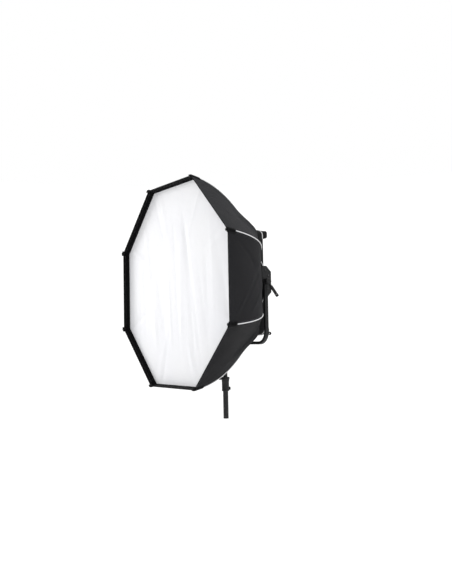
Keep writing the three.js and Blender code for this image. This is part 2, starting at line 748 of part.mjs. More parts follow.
const BOSS_RADIUS = 16;
const boss = (side) => along(
  rod(BOSS_RADIUS, ARM_INNER, ARM_OUTER),
  [side, 0, 0],
);
const boltHole = (side) => along(rod(BOLT_RADIUS + 0.5, ARM_INNER - 2, ARM_OUTER + 2, 20), [side, 0, 0]);
add('yoke', cut(
  join(plate(yokeShape(), -ARM_DEPTH / 2, ARM_DEPTH / 2, 6), boss(1), boss(-1)),
  boltHole(1),
  boltHole(-1),
), looks.blackMetal, lamp);

const CLIP_DROP = 271;
const CLIP_OUTER = 9;
const CLIP_INNER = 4;
const CLIP_THICK = 10;
add('cable_clip', along(
  tube(CLIP_OUTER, CLIP_INNER, -CLIP_THICK / 2, CLIP_THICK / 2, 16),
  [1, 0, 0],
  [ARM_X, ARM_DEPTH / 2 + GAP + CLIP_OUTER, -CLIP_DROP],
), looks.plastic, lamp);

const RECEIVER_BORE_TOP = 390;
const RECEIVER_KNOB_Z = 362;
const KNOB_STEM = 4;
const bore = rod(SPIGOT_RADIUS + 0.4, RECEIVER_Z[0] - 1, RECEIVER_BORE_TOP);
const stemHole = (radius, reach, z) => along(rod(radius + 0.4, 2, reach, 12), [0, -1, 0], [0, 0, z]);
add(
  'yoke_receiver',
  cut(rod(RECEIVER_RADIUS, ...RECEIVER_Z), bore, stemHole(KNOB_STEM, RECEIVER_RADIUS + 3, RECEIVER_KNOB_Z)),
  looks.blackMetal,
);

// A clamping knob: a stem that starts at a distance from the column's axis, and a head.
const knobGeometry = (start, headStart, headEnd, headRadius, z) => along(turned([
  [0, start],
  [KNOB_STEM, start],
  [KNOB_STEM, headStart],
  [headRadius, headStart],
  [headRadius, headEnd - 2],
  [headRadius - 2, headEnd],
  [0, headEnd],
], 20), [0, -1, 0], [0, 0, z]);
add('receiver_knob', knobGeometry(SPIGOT_RADIUS + 0.8, RECEIVER_RADIUS + 1, 46, 15, RECEIVER_KNOB_Z), looks.plastic);

// ---------------------------------------------------------------- column

const SHOULDER = 4;
add('stand_spigot', turned([
  [0, UPPER_TOP - 24],
  [UPPER_RADIUS - TUBE_WALL - GAP, UPPER_TOP - 24],
  [UPPER_RADIUS - TUBE_WALL - GAP, UPPER_TOP + GAP],
  [UPPER_RADIUS, UPPER_TOP + GAP],
  [UPPER_RADIUS, UPPER_TOP + SHOULDER],
  [SPIGOT_RADIUS, UPPER_TOP + SHOULDER],
  [SPIGOT_RADIUS, SPIGOT_TOP],
  [0, SPIGOT_TOP],
]), looks.steel);
add('upper_tube', tube(UPPER_RADIUS, UPPER_RADIUS - TUBE_WALL, UPPER_BOTTOM, UPPER_TOP), looks.blackMetal);

const PLUG_THICK = 3;
add('lower_tube', tube(LOWER_RADIUS, LOWER_RADIUS - TUBE_WALL, PLUG_THICK + GAP, LOWER_TOP), looks.blackMetal);
add('end_plug', turned([
  [0, 0],
  [LOWER_RADIUS, 0],
  [LOWER_RADIUS, PLUG_THICK],
  [LOWER_RADIUS - TUBE_WALL - GAP, PLUG_THICK],
  [LOWER_RADIUS - TUBE_WALL - GAP, PLUG_THICK + 12],
  [0, PLUG_THICK + 12],
]), looks.rubber);

const collarSolid = turned([
  [LOWER_RADIUS + GAP, COLLAR_Z[0]],
  [COLLAR_RADIUS, COLLAR_Z[0]],
  [COLLAR_RADIUS, FLANGE_Z],
  [FLANGE_RADIUS, FLANGE_Z],
  [FLANGE_RADIUS, COLLAR_Z[1]],
  [UPPER_RADIUS + 0.4, COLLAR_Z[1]],
  [UPPER_RADIUS + 0.4, LOWER_TOP + GAP],
  [LOWER_RADIUS + GAP, LOWER_TOP + GAP],
  [LOWER_RADIUS + GAP, COLLAR_Z[0]],
]);
add('column_collar', cut(collarSolid, stemHole(KNOB_STEM, FLANGE_RADIUS + 3, KNOB_Z)), looks.blackMetal);
add('column_knob', knobGeometry(UPPER_RADIUS + 1, FLANGE_RADIUS + 1, 42, 9, KNOB_Z), looks.plastic);

export default softbox;
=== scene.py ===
"""Looks for the studio softbox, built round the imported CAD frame.

Metres, +Z up, and the front faces -Y. The origin is the centre of the column's lower end.
"""
import math

import bmesh
import bpy
import numpy as np
from mathutils import Matrix, Vector


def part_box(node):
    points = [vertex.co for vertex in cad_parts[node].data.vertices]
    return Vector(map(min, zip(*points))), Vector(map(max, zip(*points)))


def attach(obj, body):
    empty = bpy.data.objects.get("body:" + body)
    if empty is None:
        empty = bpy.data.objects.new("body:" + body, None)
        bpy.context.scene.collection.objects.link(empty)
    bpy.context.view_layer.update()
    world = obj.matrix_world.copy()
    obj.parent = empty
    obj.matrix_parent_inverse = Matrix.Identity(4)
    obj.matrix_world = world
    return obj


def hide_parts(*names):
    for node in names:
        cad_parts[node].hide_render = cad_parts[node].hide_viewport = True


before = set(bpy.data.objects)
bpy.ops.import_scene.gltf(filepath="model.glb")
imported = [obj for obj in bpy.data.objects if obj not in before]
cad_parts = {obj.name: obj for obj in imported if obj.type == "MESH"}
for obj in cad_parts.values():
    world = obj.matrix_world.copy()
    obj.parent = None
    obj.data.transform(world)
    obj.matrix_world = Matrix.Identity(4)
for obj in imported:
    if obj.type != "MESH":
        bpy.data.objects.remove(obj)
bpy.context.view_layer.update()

random = np.random.default_rng(11)

# ---------------------------------------------------------------- driving dimensions, as in the CAD

R = 0.6                      # centre to corner of the front octagon
AXIS_Z = 0.74                # tilt axis
FRONT_Y = -0.583 * R         # front rim
SHELL_DEPTH = 0.555 * R
REAR_Y = FRONT_Y + SHELL_DEPTH
COLLAR_HALF = (0.57 * R, 0.465 * R)
COLLAR_CORNER = 0.030
COLLAR_END_Y = 0.021
SIDE_SEAM_Z = 0.24 * R
TOP_SEAM_X = 0.47 * R
SAG = 0.007
SWELL_START = 0.4
SIDE_PROFILE = ((0.229, 0.119), (0.537, 0.379))
TOP_PROFILE = ((0.262, 0.117), (0.416, 0.419))
CLOTH_THICK = 0.0012
ROD_RADIUS = 0.0035
ROD_INSET = 0.0095
LIP_DEPTH = 0.057 * R
LIP_TAPER = 0.0105
LIP_RADIUS = R - 0.0026 / math.cos(math.pi / 8)
CAP_LENGTH = 0.052
CAP_REACH = 0.009
CAP_HALF_WIDTH = 0.015
CAP_OFFSET = 0.0006
CAP_THICK = 0.0026
NOSE_RADIUS = 0.007
BAFFLE_DEPTH = 0.3 * R
NOTCH_HALF_Z = 0.080
NOTCH_DEPTH = 0.024
ARM_X = 0.385
ARM_THICK = 0.016
ARM_DEPTH = 0.022
YOKE_DROP = 0.320
YOKE_BEND = 0.060
TILT_AXIS = (0, 0, AXIS_Z)
FORWARD, BACKWARD = (0, -1, 0), (0, 1, 0)

PANELS = ("upper_right", "top", "upper_left", "left", "lower_left", "bottom", "lower_right", "right")

# ---------------------------------------------------------------- camera, lights and stage

CAMERA_AT = (3.36451, -2.31769, 0.4496)
CAMERA_AZIMUTH = 55.26
CAMERA_PITCH = 3.63
CAMERA_ROLL = -1.08
CAMERA_LENS = 44.586


def add_object(name, data):
    obj = bpy.data.objects.new(name, data)
    bpy.context.scene.collection.objects.link(obj)
    return obj


def make_camera():
    azimuth, pitch, roll = (math.radians(a) for a in (CAMERA_AZIMUTH, CAMERA_PITCH, CAMERA_ROLL))
    forward = Vector((
        -math.sin(azimuth) * math.cos(pitch),
        math.cos(azimuth) * math.cos(pitch),
        math.sin(pitch),
    ))
    level = Vector((math.cos(azimuth), math.sin(azimuth), 0))
    right = level * math.cos(roll) + level.cross(forward) * math.sin(roll)
    up = right.cross(forward)
    data = bpy.data.cameras.new("camera")
    data.sensor_width = 36
    data.lens = CAMERA_LENS
    camera = add_object("camera", data)
    turn = Matrix((right, up, -forward)).transposed().to_4x4()
    camera.matrix_world = Matrix.Translation(CAMERA_AT) @ turn
    bpy.context.scene.camera = camera


def area_light(name, at, target, size, power, colour=(1, 1, 1)):
    data = bpy.data.lights.new(name, "AREA")
    data.shape = "DISK"
    data.size = size
    data.energy = power
    data.color = colour
    light = add_object(name, data)
    light.location = at
    light.rotation_mode = "QUATERNION"
    light.rotation_quaternion = (Vector(target) - Vector(at)).to_track_quat("-Z", "Y")


FLOOR_Z = -0.75
FLOOR_RADIUS = 14
FLOOR_RISE = 5
FLOOR_LEVEL = 0.6            # share of the radius that is level


def make_stage():
    world = bpy.data.worlds.new("studio")
    world.use_nodes = True
    back = world.node_tree.nodes["Background"]
    back.inputs["Color"].default_value = (1, 1, 1, 1)
    back.inputs["Strength"].default_value = 1.0
    bpy.context.scene.world = world
    bpy.context.scene.view_settings.view_transform = "Standard"
    centre = (0, -0.1, AXIS_Z)
    area_light("key", (-3.4, -1.6, 2.0), centre, 1.4, 120)
    area_light("top", (1.4, 0.4, 3.6), centre, 2.0, 42)
    area_light("side", (3.8, -0.2, 1.2), centre, 1.6, 12, (0.95, 0.96, 1.0))

    rings, spokes = 24, 72
    points = [(0, 0, FLOOR_Z)]
    for i in range(1, rings + 1):
        share = i / rings
        rise = max(0.0, share - FLOOR_LEVEL) / (1 - FLOOR_LEVEL)
        points += [(x, y, FLOOR_Z + FLOOR_RISE * rise**2) for x, y in circle(FLOOR_RADIUS * share, spokes)]
    faces = [(0, 1 + j, 1 + (j + 1) % spokes) for j in range(spokes)] + ring_faces(rings, spokes, 1)
    mesh = bpy.data.meshes.new("floor")
    mesh.from_pydata(points, [], faces)
    mesh.polygons.foreach_set("use_smooth", [True] * len(mesh.polygons))
    mesh.materials.append(MATERIALS["floor"])
    add_object("floor", mesh)


# ---------------------------------------------------------------- materials


class Look:
    """A node material with one Principled shader. Coordinates are in metres."""

    def __init__(self, name, **values):
        self.material = bpy.data.materials.new(name)
        self.material.use_nodes = True
        self.tree = self.material.node_tree
        self.shader = self.tree.nodes["Principled BSDF"]
        for key, value in values.items():
            self.shader.inputs[key.replace("_", " ")].default_value = value

    def node(self, kind, inputs=(), **settings):
        made = self.tree.nodes.new("ShaderNode" + kind)
        for key, value in settings.items():
            setattr(made, key, value)
        for key, value in dict(inputs).items():
            if isinstance(value, bpy.types.NodeSocket):
                self.tree.links.new(value, made.inputs[key])
            else:
                made.inputs[key].default_value = value
        return made

    def coordinates(self, kind="Object"):
        return self.node("TexCoord").outputs[kind]

    def noise(self, scale, detail=3, stretch=None):
        vector = self.coordinates()
        if stretch:
            vector = self.node("Mapping", {"Vector": vector, "Scale": stretch}).outputs[0]
        return self.node("TexNoise", {"Vector": vector, "Scale": scale, "Detail": detail}).outputs[0]

    def ranged(self, value, low, high, start=0.3, end=0.7):
        return self.node("MapRange", {0: value, 1: start, 2: end, 3: low, 4: high}).outputs[0]

    def cloudy(self, scale, detail=3):
        return self.ranged(self.noise(scale, detail), 0, 1)

    def mixed(self, factor, first, second):
        """A mix of two colours, each a socket or (r, g, b)."""
        made = self.node("Mix", data_type="RGBA")
        for index, value in ((6, first), (7, second)):
            if isinstance(value, bpy.types.NodeSocket):
                self.tree.links.new(value, made.inputs[index])
            else:
                made.inputs[index].default_value = (*value, 1)
        self.tree.links.new(factor, made.inputs[0])
        return made.outputs[2]

    def maths(self, operation, *values):
        return self.node("Math", dict(enumerate(values)), operation=operation).outputs[0]

    def drive(self, name, socket):
        self.tree.links.new(socket, self.shader.inputs[name])

    def bump(self, height, depth, strength):
        made = self.node("Bump", {"Height": height, "Distance": depth, "Strength": strength})
        self.drive("Normal", made.outputs[0])


def weave(look, pitch, where):
    """Height of a plain weave whose threads are one pitch apart."""
    scale = math.pi / (10 * pitch)
    waves = [
        look.node("TexWave", {"Vector": where, "Scale": scale}, bands_direction=axis).outputs[1]
        for axis in "XY"
    ]
    over = look.node("TexChecker", {"Vector": where, "Scale": 1 / pitch}).outputs[1]
    return look.node("Mix", {0: over, 2: waves[0], 3: waves[1]}).outputs[0]


def fabric(name, dark, light, pitch, relief, rough=(0.72, 0.9), edge_colour=None, **values):
    look = Look(name, **values)
    flat = look.coordinates("UV")
    threads = weave(look, pitch, flat)
    cloudy = look.cloudy(5, 4)
    mottled = look.cloudy(260, 2)
    # Painted light: the per-point attribute read here is high on upward-facing cloth and low on
    # downward-facing cloth, so tops come out lighter and undersides darker, as if lit from above.
    painted_light_from_above = look.node("Attribute", attribute_name="painted_light_from_above").outputs["Fac"]
    tone = look.maths("ADD", look.maths("MULTIPLY", cloudy, 0.3), look.maths("MULTIPLY", mottled, 0.15))
    tone = look.maths("ADD", tone, look.maths("MULTIPLY", threads, 0.2))
    tone = look.maths("ADD", tone, look.maths("MULTIPLY_ADD", painted_light_from_above, 1.1, -0.4))
    colour = look.mixed(tone, dark, light)
    if edge_colour:
        edge = look.node("Attribute", attribute_name="edge").outputs["Fac"]
        rubbed = look.maths("MULTIPLY", edge, look.ranged(look.noise(70, 4), 0, 0.8, 0.45, 0.7))
        colour = look.mixed(rubbed, colour, edge_colour)
    look.drive("Base Color", colour)
    look.drive("Roughness", look.ranged(cloudy, *rough, 0, 1))
    soft = look.noise(45, 3)
    look.bump(look.maths("ADD", threads, look.maths("MULTIPLY", soft, 1.6)), relief, 0.6)
    return look.material


def hard(name, dark, light, rough, grain, relief, edge_colour=None, stretch=None, **values):
    look = Look(name, **values)
    cloudy = look.cloudy(14, 5)
    fine = look.noise(grain, 3, stretch=stretch)
    tone = look.maths("ADD", look.maths("MULTIPLY", cloudy, 0.6), look.maths("MULTIPLY", fine, 0.4))
    colour = look.mixed(tone, dark, light)
    # Sharp edges shift toward the edge colour, broken up by noise: wear on the metals, screws and rubber,
    # and a painted edge highlight on the plastic.
    if edge_colour:
        rounded = look.node("Bevel", {"Radius": 0.0012}, samples=4).outputs[0]
        straight = look.node("NewGeometry").outputs["Normal"]
        same = look.node("VectorMath", {0: rounded, 1: straight}, operation="DOT_PRODUCT").outputs["Value"]
        edge = look.ranged(same, 1, 0, 0.80, 0.985)
        edge_wear_and_highlight = look.maths("MULTIPLY", edge, look.ranged(look.noise(90, 4), 0.1, 1, 0.42, 0.6))
        colour = look.mixed(edge_wear_and_highlight, colour, edge_colour)
    look.drive("Base Color", colour)
    look.drive("Roughness", look.ranged(look.noise(30, 4), *rough))
    look.bump(fine, relief, 0.5)
    return look.material


def lamp_front(name):
    look = Look(name, Roughness=0.35)
    prisms = look.node("TexVoronoi", {"Vector": look.coordinates(), "Scale": 260}).outputs[0]
    look.drive("Base Color", look.mixed(look.cloudy(6), (0.82, 0.82, 0.8), (0.9, 0.9, 0.89)))
    look.bump(prisms, 0.0006, 0.7)
    return look.material


def diffuser_cloth(name, painted_glow):
    look = Look(name, Sheen_Weight=0.25)
    threads = weave(look, 0.0011, look.coordinates("UV"))
    look.drive("Base Color", look.mixed(look.cloudy(2.6), (0.580, 0.582, 0.603), (0.606, 0.607, 0.616)))
    look.drive("Roughness", look.ranged(look.noise(60, 3), 0.78, 0.95))
    # Painted light: a faint white emission, full within 0.30 m of the tilt axis and gone by 0.66 m,
    # brightens the middle of the cloth.
    centre = look.node("Mapping", {"Vector": look.coordinates(), "Location": (0, 0, -AXIS_Z)}).outputs[0]
    away = look.node("VectorMath", {0: centre}, operation="LENGTH").outputs["Value"]
    look.shader.inputs["Emission Color"].default_value = (1, 1, 1, 1)
    look.drive("Emission Strength", look.ranged(away, painted_glow, 0, 0.30, 0.66))
    look.bump(look.maths("ADD", threads, look.noise(38, 2)), 0.00025, 0.5)
    return look.material


def make_materials():
    white = Look("floor", Roughness=0.9, Emission_Color=(1, 1, 1, 1), Emission_Strength=0.16)
    white.drive("Base Color", white.mixed(white.cloudy(2), (0.92, 0.92, 0.92), (0.93, 0.93, 0.93)))
    white.bump(white.noise(90), 0.0005, 0.3)
    return {
        "floor": white.material,
        "cloth": fabric("cloth", (0.0036, 0.0036, 0.0044), (0.0150, 0.0150, 0.0168), 0.0014, 0.0003,
                        edge_colour=(0.033, 0.033, 0.036), Sheen_Weight=0.02, Specular_IOR_Level=0.085),
        "collar": fabric("collar", (0.006, 0.006, 0.0063), (0.011, 0.011, 0.0115), 0.0018, 0.0004,
                         edge_colour=(0.03, 0.03, 0.03), Sheen_Weight=0.02, Specular_IOR_Level=0.1),
        "trim": fabric("trim", (0.0018, 0.0018, 0.0020), (0.0050, 0.0050, 0.0054), 0.0022, 0.0006,
                       rough=(0.6, 0.85), edge_colour=(0.018, 0.018, 0.018), Specular_IOR_Level=0.035),
        "piping": fabric("piping", (0.56, 0.56, 0.57), (0.74, 0.74, 0.75), 0.0016, 0.0004,
                         rough=(0.45, 0.65), Sheen_Weight=0.1),
        "thread": fabric("thread", (0.02, 0.02, 0.022), (0.06, 0.06, 0.063), 0.0004, 0.0001),
        "white_thread": fabric("white_thread", (0.66, 0.66, 0.68), (0.8, 0.8, 0.81), 0.0004, 0.0001),
        # The front diffuser carries a painted glow at its middle; the baffle carries none.
        "diffuser": diffuser_cloth("diffuser", 0.09),
        "baffle": diffuser_cloth("baffle", 0.0),
        "rod": hard("rod", (0.16, 0.165, 0.17), (0.28, 0.285, 0.29), (0.3, 0.5), 500, 0.00015,
                    stretch=(1, 0.06, 1), Metallic=0.35),
        "steel": hard("steel", (0.42, 0.43, 0.44), (0.6, 0.61, 0.62), (0.2, 0.38), 900, 0.0001,
                      stretch=(1, 1, 0.08), Metallic=1.0),
        "black_metal": hard("black_metal", (0.0085, 0.0087, 0.009), (0.014, 0.0142, 0.0148), (0.36, 0.5),
                            1400, 0.00022, edge_colour=(0.12, 0.12, 0.125), Metallic=0.2, Specular_IOR_Level=0.22),
        "black_tube": hard("black_tube", (0.009, 0.009, 0.0095), (0.015, 0.015, 0.0155), (0.3, 0.45),
                           1100, 0.00012, edge_colour=(0.10, 0.10, 0.105), stretch=(1, 1, 0.12), Metallic=0.3,
                           Specular_IOR_Level=0.25),
        # The plastic's lighter edge colour is a painted edge highlight.
        "plastic": hard("plastic", (0.0065, 0.0065, 0.007), (0.012, 0.012, 0.0125), (0.4, 0.58),
                        1000, 0.0003, edge_colour=(0.035, 0.035, 0.037), Specular_IOR_Level=0.2),
        "ring": hard("ring", (0.07, 0.07, 0.073), (0.11, 0.11, 0.113), (0.35, 0.5), 900, 0.00015),
        "screw": hard("screw", (0.02, 0.02, 0.021), (0.05, 0.05, 0.052), (0.25, 0.4), 900, 0.0001,
                      edge_colour=(0.3, 0.3, 0.31), Metallic=0.9),
        "rubber": hard("rubber", (0.0055, 0.0055, 0.0055), (0.010, 0.010, 0.010), (0.7, 0.9),
                       700, 0.0004, edge_colour=(0.02, 0.02, 0.02), Specular_IOR_Level=0.12),
        "glass": hard("glass", (0.004, 0.005, 0.007), (0.006, 0.007, 0.010), (0.06, 0.14), 200, 0.00002,
                      Coat_Weight=0.6),
        "brass": hard("brass", (0.55, 0.42, 0.2), (0.68, 0.53, 0.28), (0.2, 0.35), 800, 0.0001,
                      Metallic=1.0),
        "lamp_diffuser": lamp_front("lamp_diffuser"),
        "board": hard("board", (0.7, 0.68, 0.58), (0.8, 0.78, 0.68), (0.4, 0.6), 120, 0.0001),
        "led": hard("led", (0.75, 0.55, 0.16), (0.85, 0.66, 0.24), (0.25, 0.4), 300, 0.0001),
    }


MATERIALS = make_materials()

# ---------------------------------------------------------------- meshes


class Body:
    """Vertices, faces and flat coordinates of one or more closed bodies."""

    def __init__(self):
        self.points, self.faces, self.flat, self.edge, self.painted_light_from_above = [], [], [], [], []

    def add(self, points, faces, flat=None, edge=None, painted_light_from_above=None):
        base = sum(len(p) for p in self.points)
        points = np.asarray(points, float)
        self.points.append(points)
        self.faces += [tuple(base + i for i in face) for face in faces]
        self.flat.append(points[:, [0, 2]] if flat is None else np.asarray(flat, float))
        self.edge.append(np.zeros(len(points)) if edge is None else np.asarray(edge, float))
        # The last per-point values are painted light from above; 0.5 leaves the colour as it is.
        self.painted_light_from_above.append(np.full(len(points), 0.5) if painted_light_from_above is None else np.asarray(painted_light_from_above, float))
        return self

    def build(self, name, material, body, replaces=(), slot=None, smooth=35):
        mesh = bpy.data.meshes.new(name)
        points = np.concatenate(self.points)
        mesh.from_pydata(points.tolist(), [], self.faces)
        flat = np.concatenate(self.flat)
        loops = np.empty(len(mesh.loops), int)
        mesh.loops.foreach_get("vertex_index", loops)
        mesh.uv_layers.new(name="flat").data.foreach_set("uv", flat[loops].ravel())
        for kind, values in (("edge", self.edge), ("painted_light_from_above", self.painted_light_from_above)):
            attribute = mesh.attributes.new(kind, "FLOAT", "POINT")
            attribute.data.foreach_set("value", np.concatenate(values))
        return finish_piece(mesh, name, material, body, replaces, smooth)


def finish_piece(mesh, name, material, body, replaces=(), smooth=35):
    mesh.validate()
    mesh.polygons.foreach_set("use_smooth", [True] * len(mesh.polygons))
    mesh.set_sharp_from_angle(angle=math.radians(smooth))
    mesh.materials.clear()
    mesh.materials.append(MATERIALS[material])
    piece = add_object(name, mesh)
    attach(piece, body)
    if replaces:
        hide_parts(*replaces)
    return piece


def grid_faces(rows, columns, start=0, turned=False):
    """Quads of a grid of points stored row by row."""
    faces = []
    for i in range(rows - 1):
        for j in range(columns - 1):
            a = start + i * columns + j
            face = (a, a + 1, a + columns + 1, a + columns)
            faces.append(face[::-1] if turned else face)
    return faces


def ring_faces(rings, around, start=0, turned=False, closed=False):
    """Quads between rings of points. With closed, the last ring also joins the first."""
    faces = []
    for i in range(rings if closed else rings - 1):
        a, b = start + i * around, start + (i + 1) % rings * around
        for j in range(around):
            nxt = (j + 1) % around
            if turned:
                faces.append((a + j, a + nxt, b + nxt, b + j))
            else:
                faces.append((a + j, b + j, b + nxt, a + nxt))
    return faces


def layer_faces(rings, around, start=0):
    """Faces of two layers of rings, the front stored first, and of the rim that joins their last rings."""
    total = rings * around
    faces = ring_faces(rings, around, start) + ring_faces(rings, around, start + total, turned=True)
    front, back = start + total - around, start + 2 * total - around
    for j in range(around):
        nxt = (j + 1) % around
        faces.append((front + j, back + j, back + nxt, front + nxt))
    return faces


def add_sheet(body, outer, inner, flat, edge=None, painted_light_from_above=None):
    """Adds a closed sheet between two grids, with a soft rim half way between them."""
    rows, columns = outer.shape[:2]
    count = rows * columns
    faces = grid_faces(rows, columns) + grid_faces(rows, columns, count, turned=True)
    rim = [(0, j) for j in range(columns - 1)] + [(i, columns - 1) for i in range(rows - 1)]
    rim += [(rows - 1, j) for j in range(columns - 1, 0, -1)] + [(i, 0) for i in range(rows - 1, 0, -1)]
    for (i0, j0), (i1, j1) in zip(rim, rim[1:] + rim[:1]):
        a, b = i0 * columns + j0, i1 * columns + j1
        faces.append((b, a, count + a, count + b))
    points = np.concatenate([outer.reshape(-1, 3), inner.reshape(-1, 3)])
    flat = flat.reshape(-1, 2)
    if edge is not None:
        edge = np.concatenate([edge.ravel()] * 2)
    if painted_light_from_above is not None:
        painted_light_from_above = np.concatenate([painted_light_from_above.ravel()] * 2)
    return body.add(points, faces, np.concatenate([flat, flat]), edge, painted_light_from_above)


def unit(vectors):
    return vectors / np.maximum(np.linalg.norm(vectors, axis=-1, keepdims=True), 1e-12)


def steps_of(path):
    return np.linalg.norm(np.diff(path, axis=0), axis=1)


def run_of(path):
    """Distance along a path at each of its points."""
    return np.concatenate([[0], np.cumsum(steps_of(path))])


def read_along(where, run, path):
    """Points of a path at distances where. The path's own points are at distances run."""
    return np.stack([np.interp(where, run, path[:, i]) for i in range(3)], -1)


def frames_along(path, closed):
    """Two crosswise directions at each point of a path, without twist."""
    if closed:
        tangents = unit(np.roll(path, -1, 0) - np.roll(path, 1, 0))
    else:
        tangents = unit(np.gradient(path, axis=0))
    first = np.cross(tangents[0], (0, 0, 1) if abs(tangents[0][2]) < 0.9 else (0, 1, 0))
    across = [first / np.linalg.norm(first)]
    for tangent in tangents[1:]:
        side = across[-1] - tangent * np.dot(across[-1], tangent)
        across.append(side / np.linalg.norm(side))
    return np.array(across), np.cross(tangents, across)


def add_swept(body, path, outline, scale=None, closed=False):
    """Adds an outline of (across, up) points swept along a path."""
    path, outline = np.asarray(path, float), np.asarray(outline, float)
    scale = np.ones(len(path)) if scale is None else scale
    rings = [
        at + s * (outline[:, :1] * a + outline[:, 1:] * u)
        for at, s, a, u in zip(path, scale, *frames_along(path, closed))
    ]
    sides, count = len(outline), len(path)
    faces = ring_faces(count, sides, turned=True, closed=closed)
    if not closed:
        faces.append(tuple(range(sides))[::-1])
        faces.append(tuple((count - 1) * sides + j for j in range(sides)))
    round_it = np.linspace(0, steps_of(outline).sum(), sides)
    flat = np.stack(np.meshgrid(round_it, run_of(path)), -1).reshape(-1, 2)
    return body.add(np.concatenate(rings), faces, flat)


def circle(radius, sides):
    angle = 2 * np.pi * np.arange(sides) / sides
    return radius * np.stack([np.cos(angle), np.sin(angle)], 1)


def rounded_box(half_a, half_b, radius, steps=5):
    """Outline of a rectangle with rounded corners."""
    points = []
    for quarter, (sa, sb) in enumerate(((1, 1), (-1, 1), (-1, -1), (1, -1))):
        for step in range(steps + 1):
            angle = math.pi / 2 * (quarter + step / steps)
            points.append((
                sa * (half_a - radius) + radius * math.cos(angle),
                sb * (half_b - radius) + radius * math.sin(angle),
            ))
    return points


def add_turned(body, profile, at=(0, 0, 0), axis=(0, 0, 1), steps=56, shape=None):
    """Adds a shape of revolution. The profile is (radius, distance) points from the axis back to the
    axis, or a closed ring. shape(angle, distance) scales the radius, as for flutes and lobes."""
    ring = profile[0][0] > 0
    turn = Vector((0, 0, 1)).rotation_difference(Vector(axis).normalized())
    place = Matrix.Translation(at) @ turn.to_matrix().to_4x4()
    points, starts = [], []
    for radius, distance in profile:
        starts.append(len(points))
        if radius <= 0:
            points.append(place @ Vector((0, 0, distance)))
            continue
        for i in range(steps):
            angle = 2 * math.pi * i / steps
            r = radius * (shape(angle, distance) if shape else 1)
            points.append(place @ Vector((r * math.cos(angle), r * math.sin(angle), distance)))
    faces = []
    pairs = list(zip(range(len(profile)), range(1, len(profile))))
    if ring:
        pairs.append((len(profile) - 1, 0))
    for low, high in pairs:
        a, b = starts[low], starts[high]
        for i in range(steps):
            j = (i + 1) % steps
            if profile[low][0] <= 0:
                faces.append((a, b + j, b + i))
            elif profile[high][0] <= 0:
                faces.append((a + i, a + j, b))
            else:
                faces.append((a + i, a + j, b + j, b + i))
    return body.add([tuple(p) for p in points], faces)


def softened(profile, radius=0.0006):
    """A profile with each inner corner cut back a little, so that no edge is razor sharp."""
    result = [profile[0]]
    for before, at, after in zip(profile, profile[1:], profile[2:]):
        for end in (before, after):
            gap = math.dist(at, end)
            share = min(radius, 0.4 * gap) / gap if gap else 0
            result.append((at[0] + (end[0] - at[0]) * share, at[1] + (end[1] - at[1]) * share))
    return result + [profile[-1]]


def lobed(count, depth, start=-1e9, end=1e9):
    def shape(angle, distance):
        if not start <= distance <= end:
            return 1
        return 1 - depth * (0.5 + 0.5 * math.cos(count * angle))
    return shape


def add_block(body, low, high, bevel=0.001, segments=2):
    """Adds a box with rounded edges."""
    bm = bmesh.new()
    bmesh.ops.create_cube(bm, size=1)
    for vertex in bm.verts:
        vertex.co = [a + (b - a) * (c + 0.5) for a, b, c in zip(low, high, vertex.co)]
    bmesh.ops.bevel(bm, geom=bm.edges[:], offset=bevel, segments=segments, affect="EDGES", profile=0.5)
    bm.verts.index_update()
    body.add([tuple(v.co) for v in bm.verts], [[v.index for v in f.verts] for f in bm.faces])
    bm.free()
    return body


def add_pad(body, x, z, half_x, half_z, low_y, high_y, bevel, segments=2):
    """Adds a box with rounded edges, centred on (x, z), from low_y to high_y."""
    low, high = (x - half_x, low_y, z - half_z), (x + half_x, high_y, z + half_z)
    return add_block(body, low, high, bevel, segments)


def add_screw(body, at, axis, radius=0.0035, height=0.0022):
    """Adds a socket-head screw that stands on a surface."""
    socket = radius * 0.5
    profile = [(0, -0.001), (radius, -0.001), (radius, height * 0.75), (radius * 0.8, height)]
    profile += [(socket, height), (socket, height * 0.3), (0, height * 0.3)]
    return add_turned(body, profile, at, axis, 18)


def node_box(node):
    """Low corner, high corner and centre of a CAD node's box."""
    low, high = (Vector(v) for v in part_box(node))
    return low, high, (low + high) / 2


SHARP_ANGLE = math.radians(25)


def cad_copy(node, name, material, body, width, segments, panel=None):
    """A CAD node's shape with its edges rounded. panel=(axis, inset, depth) also sinks its largest face."""
    bm = bmesh.new()
    bm.from_mesh(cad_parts[node].data)
    bmesh.ops.remove_doubles(bm, verts=bm.verts[:], dist=0.00002)
    bmesh.ops.dissolve_limit(bm, angle_limit=math.radians(1), verts=bm.verts[:], edges=bm.edges[:])
    if panel:
        axis, inset, depth = panel
        facing = [f for f in bm.faces if f.normal.dot(Vector(axis)) > 0.99]
        level = max((f.calc_center_median().dot(Vector(axis)) for f in facing), default=0)
        top = [f for f in facing if f.calc_center_median().dot(Vector(axis)) > level - 0.001]
        bmesh.ops.inset_region(bm, faces=top, thickness=inset, depth=-depth, use_even_offset=True)
    sharp = [e for e in bm.edges if len(e.link_faces) == 2 and e.calc_face_angle(0) > SHARP_ANGLE]
    bmesh.ops.bevel(bm, geom=sharp, offset=width, segments=segments, affect="EDGES",
                    profile=0.6, clamp_overlap=True)
    bmesh.ops.triangulate(bm, faces=[f for f in bm.faces if len(f.verts) > 4])
    mesh = bpy.data.meshes.new(name)
    bm.to_mesh(mesh)
    bm.free()
    layer = mesh.uv_layers.new(name="flat")
    for loop in mesh.loops:
        co = mesh.vertices[loop.vertex_index].co
        layer.data[loop.index].uv = (co.x + co.y, co.z)
    return finish_piece(mesh, name, material, body, [node], 40)


# ---------------------------------------------------------------- seams and panels


def bezier(p0, p1, p2, p3, t):
    return (1 - t) ** 3 * p0 + 3 * t * (1 - t) ** 2 * p1 + 3 * t * t * (1 - t) * p2 + t**3 * p3


